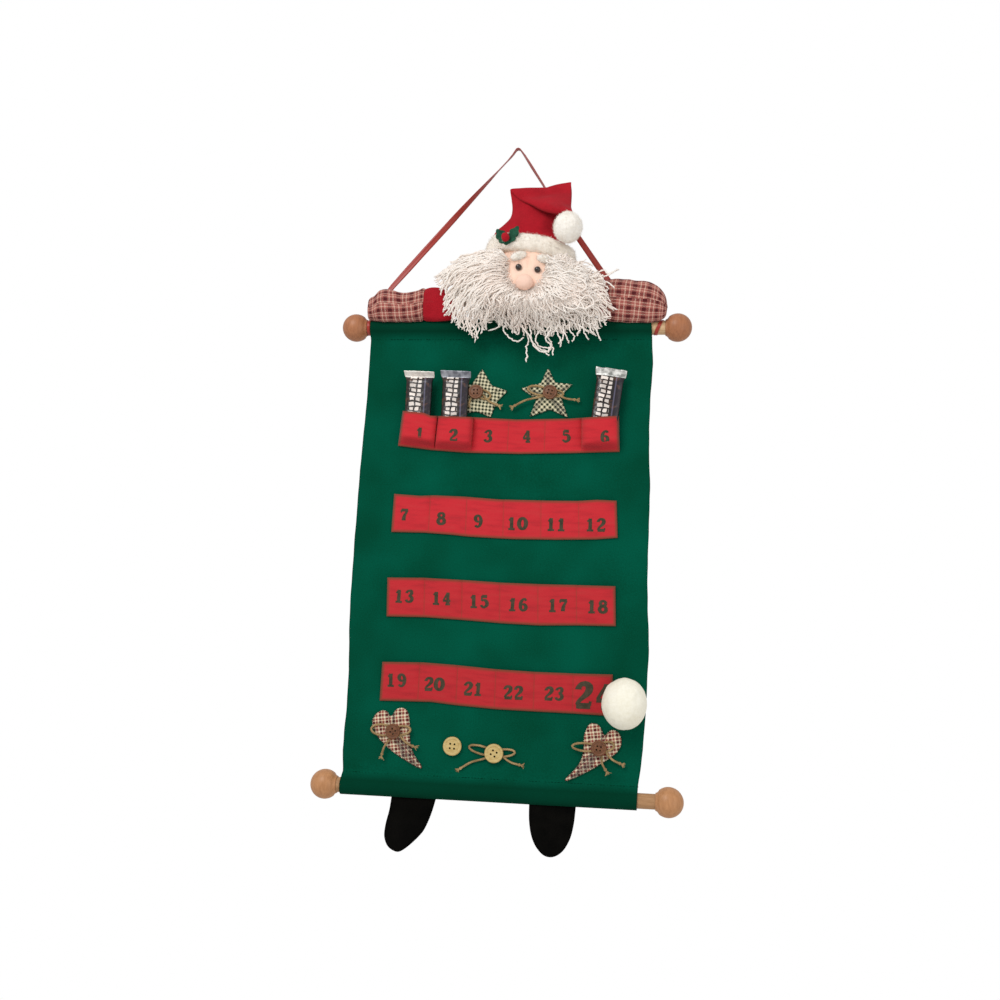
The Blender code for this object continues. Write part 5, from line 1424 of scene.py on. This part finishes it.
hatSettings = {
    # up the hat and over its fold to the tip: x left, x right, y, z, half thickness
    "rows": ((-19, 58, -17.0, 86, 13.0), (-19.5, 57, -17.0, 92, 12.6), (-17.5, 55, -17.0, 101, 11.6),
             (-9, 57, -17.0, 109, 10.4), (-2.5, 60, -16.5, 117, 9.0), (-0.5, 62.5, -16.0, 127, 7.4),
             (-2, 63, -15.5, 138, 5.6), (-3.4, 62, -15.5, 145.5, 3.6), (-3.4, 62, -17.6, 148.6, 2.6),
             (-1.4, 62.2, -19.0, 145.0, 2.8), (7, 62.6, -21.0, 137, 4.0), (19, 63.4, -27.5, 129, 4.8),
             (31, 64.5, -34.0, 120.4, 5.2), (43, 66.2, -40.0, 114.4, 4.4), (54, 67.2, -44.0, 111.0, 3.2),
             (60.0, 67.0, -45.8, 109.4, 1.8)),
    "peak": 8.0,
    "crumple": 1.0,
}


def hatPlace(u, v):
    k = round(v * (len(hatLine) - 1))
    wide, spot, deep = hatWidths[k].y, hatLine[k], hatWidths[k].z
    before, after = hatLine[max(k - 1, 0)], hatLine[min(k + 1, len(hatLine) - 1)]
    heading = Vector((0, after.y - before.y, after.z - before.z)).normalized()
    ahead = Vector((0, -heading.z, heading.y))
    turn = 2 * math.pi * u
    rough = hatSettings["crumple"] * noise.noise(Vector((spot.x + 30 * math.cos(turn), spot.y, spot.z)) / 14)
    across = math.copysign(abs(math.cos(turn)) ** 0.9, math.cos(turn)) * wide
    # the fold rises to a peak at its right end, and a little at its left end
    beyond = max(0.0, (spot.x + across - 36) / 26)
    lift = hatSettings["peak"] * min(1.1, beyond) * smoothStep((spot.z - 122) / 24)
    lift += 1.2 * smoothStep((12 - spot.x - across) / 18) * smoothStep((spot.z - 130) / 14)
    aside = Vector((across + 0.3 * rough, 0, lift))
    return at(*(spot + aside + ahead * (math.sin(turn) * deep + rough * abs(math.sin(turn)))))


hatLine = roundedPath([Vector(((a + c) / 2, y, z)) for a, c, y, z, deep in hatSettings["rows"]], 8)
hatWidths = roundedPath([Vector((0, (c - a) / 2, deep)) for a, c, y, z, deep in hatSettings["rows"]], 8)
bm = bentGrid(72, len(hatLine) - 1, (150, 190), hatPlace, capped=True)
addPiece("feltHat", bm, [redFelt], "banner", "hat_crown", "red_felt")

pompomSettings = {"middle": (62.7, -45.7, 93.8), "radii": (14.8, 14.8, 16.2), "fibres": (2600, 1.6, 0.09)}
bm = roundMesh(pompomSettings["middle"], pompomSettings["radii"],
               lambda n: 1 + 0.03 * noise.noise(n * 2.2) + 0.012 * noise.noise(n * 9))
pompom = addPiece("hatPompom", bm, [pompomWool], "hat_pompom", "hat_pompom", "white_fleece")
shortFibres("pompomFibres", pompom, *pompomSettings["fibres"], "hat_pompom", "hat_pompom")

print("Stage 10: holly")

hollySettings = {
    "turnDegrees": 122,  # place round the brim
    "offBrim": 0.9,
    "shift": (2.6, 0.9, -7.76),
    "length": 22.0,
    "width": 12.5,
    "thickness": 1.2,
    # how far each leaf stands out, and its turn in degrees
    "leaves": {"Left": (0.0, 125), "Right": (1.5, 55)},
    "berryMiddle": (-2.6, -45.2, 84.2),
    "berryRadii": (4.2, 4.0, 4.9),
}
hollyTurn = math.radians(hollySettings["turnDegrees"])
hollySpot = brimMiddle(hollyTurn, brimSettings["roll"] / 2 + hollySettings["offBrim"])
hollySpot += Vector(hollySettings["shift"])
hollyYaw = math.atan2(-math.cos(hollyTurn) * (brimSettings["depth"] - brimSettings["roll"]),
                      math.sin(hollyTurn) * (brimSettings["width"] - brimSettings["roll"]))


def hollyPlace(u, v, ahead, turnDegrees):
    s = hollySettings
    share = min(0.999, max(0.001, v))
    scallop = 1 - 0.34 * (1 - abs(math.cos(3 * math.pi * share)))
    half = math.sin(math.pi * share) ** 0.7 * scallop * s["width"] / 2
    across = (u - 0.5) * 2
    bend = 0.7 * across * across * math.sin(math.pi * share) + 0.9 * share * share
    local = Vector((share * s["length"], across * half, ahead + bend))
    facing = Matrix.Rotation(-hollyYaw, 3, "Z") @ Matrix.Rotation(math.pi / 2, 3, "X")
    return at(*(hollySpot + facing @ (Matrix.Rotation(math.radians(turnDegrees), 3, "Z") @ local)))


for word, (ahead, turnDegrees) in hollySettings["leaves"].items():
    bm = bentGrid(14, 48, (12, 22), lambda u, v: hollyPlace(u, v, ahead, turnDegrees))
    leaf = addPiece(f"hollyLeaf{word}", bm, [hollyFelt], "banner", f"holly_leaf_{word.lower()}", "holly_felt")
    thicken(leaf, hollySettings["thickness"])
softBulb("hollyBerry", hollySettings["berryMiddle"], hollySettings["berryRadii"], redFelt, "holly_berry",
         "red_felt", 0.1)

print("Stage 11: hair and beard")

beardSettings = {
    "middle": (25.0, 40.0),
    # round the face from its upper left to its upper right: degrees, radius of the hair's outer line
    "outer": ((136, 56), (143, 62), (148, 72), (157, 82), (167, 95), (175, 103), (182, 100), (190, 94),
              (197, 97), (202, 93), (207, 90), (213, 84), (221, 77), (228, 60), (235, 52), (248, 54),
              (257, 55), (264, 51), (279, 52), (290, 58), (303, 58), (311, 66), (318, 73), (324, 78),
              (329, 86), (334, 90), (343, 89), (353, 81), (364, 75), (373, 69), (382, 62), (388, 54),
              (404, 46)),
    # and of the line where it leaves the face
    "inner": ((136, 33), (150, 31), (165, 28), (180, 25), (205, 22), (225, 19), (250, 15), (270, 14),
              (300, 13), (330, 12), (360, 13), (385, 17), (404, 21)),
    "tips": (139, 400),  # degrees between which the strands end
    "longest": 104,
    "rootLimits": (138, 402),
    "strands": 760,
    "thickness": 1.7,
    "layer": 6.0,  # how far the top strands lie in front of the lowest
    "rootShare": (-0.02, 0.6),
    "coil": (0.4, 1.1),  # radius of a strand's curl in mm
    "coilTurns": (0.7, 1.3),
    "drift": 1.6,
    "fluffFibres": 3600,
    "fluffRadius": 0.26,
    "fluffLength": (6, 14),
}
# strands that hang clear of the rest, in mm from the rod's axis
loneStrands = (
    ((-20, 6), (-12, 0), (-5, -3), (-3, -11), (4, -18), (12, -21), (18, -16)),
    ((8, 2), (13, -6), (20, -10), (23, -20), (21, -28), (22, -35), (22, -43)),
    ((24, -4), (26, -13), (27, -21), (33, -28), (40, -31), (45, -36)),
    ((36, -4), (36, -10), (31, -18), (33, -25), (40, -28), (49, -28), (49, -36)),
    ((12, -4), (24, -16), (30, -28), (39, -33), (47, -29), (46, -20), (38, -12)),
    ((42, 0), (46, -10), (42, -20), (46, -27), (44, -34)),
    ((52, -2), (52, -10), (57, -20), (57, -28)),
    ((48, -4), (56, -8), (60, -17), (55, -24)),
    ((60, -2), (60, -10), (63, -18), (66, -23)),
    ((68, 0), (66, -10), (71, -16), (69, -22)),
    ((78, 2), (79, -3), (82, -13), (86, -20)),
    ((74, -2), (77, -10), (74, -17)),
    ((89, 4), (90, -2), (95, -12), (99, -22)),
    ((86, 0), (88, -10), (91, -15)),
    ((96, 8), (99, 3), (104, -5)),
    ((100, 12), (104, 4), (103, -3)),
    ((80, 48), (85, 48.6), (93, 48.6), (102, 47), (110, 51.8), (116, 55)),
    ((78, 50), (86.6, 46.9), (96.4, 40), (104.4, 41), (111.7, 34)),
    ((80, 52), (88, 50), (99, 53.6), (107, 50), (115, 54)),
    ((-46, 56), (-60, 50), (-66, 41), (-71, 36), (-71, 31)),
    ((-46, 36), (-56, 31), (-63, 21), (-70, 11)),
    ((-44, 26), (-54, 22), (-60, 14), (-69, 6)),
    ((-50, 44), (-63, 38), (-66, 31), (-64, 22), (-70, 14)),
    ((-42, 8), (-43, 0), (-41, -10), (-34, -15), (-34, -22)),
    ((-38, 6), (-38, -4), (-33, -10), (-31, -19)),
    ((-32, 8), (-33, 0), (-29, -10), (-34, -18)),
    ((-46, 6), (-40, -4), (-38, -12), (-36, -17)),
    ((-26, 8), (-28, 0), (-26, -8), (-28, -13)),
    ((-30, 10), (-20, 2), (-17, 7), (-25, 9)),
    ((-22, 8), (-14, 2), (-6, 0), (2, -6), (10, -8)),
    ((62, 30), (76, 24), (84, 30), (76, 38), (66, 34), (68, 24), (80, 18)),
    ((54, 20), (62, 8), (74, 6), (78, 16), (68, 20), (60, 12), (64, 2)),
    ((70, 12), (82, 6), (92, 12), (86, 20), (78, 14), (84, 4)),
)


def hairSpot(degrees, share):
    # place seen from the front, part of the way from the face to the hair's outer line
    inner = easeBetween(beardSettings["inner"], degrees)
    reach = inner + (easeBetween(beardSettings["outer"], degrees) - inner) * share
    middleX, middleZ = beardSettings["middle"]
    turn = math.radians(degrees)
    return middleX + reach * math.cos(turn), middleZ + reach * math.sin(turn)


def hairDepth(degrees, share):
    # the hair springs from beside the face, bulges, and lies down over arms and banner
    low = smoothStep(-math.sin(math.radians(degrees)) * 1.4)
    edge = -24.0 + 6.0 * low
    return easeBetween(((-0.3, -30.0), (0.0, -38.0), (0.3, -44.0), (0.6, -38.0 + 2 * low), (0.85, edge - 5),
                        (1.1, edge)), share)


def underPlace(u, v):
    degrees = 138 + 264 * v
    turn = 2 * math.pi * u
    share = 0.31 + 0.42 * math.cos(turn)
    x, z = hairSpot(degrees, share)
    thick = (9.5 - 4.5 * math.sin(turn)) * min(1.0, math.sin(math.pi * v) * 3)
    y = hairDepth(degrees, share) + 7.0 - thick * math.sin(turn) + noise.noise(Vector((x, z, 0)) / 5)
    return at(x, y, z)


bm = bentGrid(48, 140, (150, 400), underPlace, capped=True)
# pad under the strands, coloured with painted shade
addPiece("beardUnderlayer", bm, [innerYarnPaintedShade], "banner", "beard", "white_yarn")

hairChance = random.Random(24)


def yarnPath(corners, steps, kink, seed):
    # a strand through its corners, kinked as unravelled yarn is, and thick and thin by turns
    line = roundedPath(corners, steps)
    path = []
    for k, spot in enumerate(line):
        loose = kink * (0.35 + 0.65 * k / (len(line) - 1))
        wobble = Vector((noise.noise(Vector((k * 0.55, seed, 0))),
                         0.6 * noise.noise(Vector((k * 0.5, seed, 9))),
                         noise.noise(Vector((k * 0.55, seed, 5)))))
        end = 0.55 if k in (0, len(line) - 1) else 1.0
        path.append((*at(*(spot + wobble * loose * 2)), (1.18 if k % 2 else 0.84) * end))
    return path


strandPaths = []
for i in range(beardSettings["strands"]):
    tipDegrees = hairChance.uniform(*beardSettings["tips"])
    while hairChance.random() > easeBetween(beardSettings["outer"], tipDegrees) / beardSettings["longest"]:
        tipDegrees = hairChance.uniform(*beardSettings["tips"])
    tipShare = 1.02 - 0.6 * hairChance.random() ** 1.5
    aside = math.cos(math.radians(tipDegrees))
    # the strands curl and wander more on the right, and below the face
    right = smoothStep((tipDegrees - 275) / 60)
    low = smoothStep((tipDegrees - 205) / 25) * smoothStep((350 - tipDegrees) / 25)
    rootDegrees = tipDegrees + 18 * aside * (1 - 0.5 * right) + hairChance.gauss(0, 7 + 6 * low)
    leastDegrees, mostDegrees = beardSettings["rootLimits"]
    rootDegrees = min(mostDegrees, max(leastDegrees, rootDegrees))
    rootShare = hairChance.uniform(*beardSettings["rootShare"]) * tipShare
    layer = hairChance.uniform(0, beardSettings["layer"])
    coil = hairChance.uniform(*beardSettings["coil"]) * (1.0 + 1.8 * right + 0.8 * low)
    phase = hairChance.uniform(0, 6.28)
    turns = hairChance.uniform(*beardSettings["coilTurns"]) * (0.8 + 0.8 * right)
    corners = []
    for k in range(9):
        share = k / 8
        place = rootShare + (tipShare - rootShare) * share
        degrees = rootDegrees + (tipDegrees - rootDegrees) * share
        x, z = hairSpot(degrees, place)
        z -= 3.0 * share * share * abs(aside)
        drift = (beardSettings["drift"] + 2.4 * low + 2.2 * right) * min(1, share * 2)
        x += drift * noise.noise(Vector((x / 9, z / 9, layer / 2))) * 2
        z += drift * noise.noise(Vector((x / 9, z / 9, 40 + layer / 2))) * 1.6
        swing = phase + 2 * math.pi * turns * share
        x += coil * math.cos(swing) * min(1, share * 3)
        z += coil * math.sin(swing) * min(1, share * 3)
        y = hairDepth(degrees, place) - layer * math.sin(math.pi * min(1.0, 0.15 + share * 0.8))
        corners.append(Vector((x, y + coil * 0.5 * math.sin(swing * 1.3), z)))
    strandPaths.append(yarnPath(corners, 3, 0.8 + 0.6 * right + 0.6 * low, i * 1.7))
for i, corners in enumerate(loneStrands):
    # the last three hang in front of the rest, and the low ones lie back on to the banner
    front = -44.0 if i >= len(loneStrands) - 3 else -27.0
    points = []
    for k, (x, z) in enumerate(corners):
        back = 8.0 * smoothStep(k / 4) if z < 20 and front > -40 else 0.0
        points.append(Vector((x, front + back, z)))
    strandPaths.append(yarnPath(points, 6, 1.0, 500 + i * 2.3))
half = len(strandPaths) // 2
for word, paths in (("First", strandPaths[:half]), ("Second", strandPaths[half:])):
    yarn = tubeMesh(f"beardYarn{word}", paths, beardSettings["thickness"] / 2 * mm)
    addPiece(f"beardYarn{word}", yarn, [whiteYarn], "banner", "beard", "white_yarn")

# fine brushed-out fibres where the hair meets the face
fluffPaths = []
for i in range(beardSettings["fluffFibres"]):
    degrees = hairChance.uniform(140, 400)
    start = hairChance.uniform(-0.12, 0.42)
    aside = math.cos(math.radians(degrees))
    length = hairChance.uniform(*beardSettings["fluffLength"])
    x, z = hairSpot(degrees, start)
    heading = math.radians(degrees - 26 * aside + hairChance.uniform(-45, 45))
    bend = hairChance.uniform(-0.5, 0.5)
    y = hairDepth(degrees, start) - hairChance.uniform(0.5, 5.0)
    path = []
    for k in range(4):
        out = length * k / 3
        spot = at(x + out * math.cos(heading), y + 0.1 * out, z + out * math.sin(heading))
        path.append((*spot, 1.0 - 0.2 * k))
        heading += bend * 0.5
    fluffPaths.append(path)
fluff = tubeMesh("beardFluff", fluffPaths, beardSettings["fluffRadius"] * mm)
addPiece("beardFluff", fluff, [whiteYarn], "banner", "beard", "white_yarn")

bpy.context.view_layer.update()
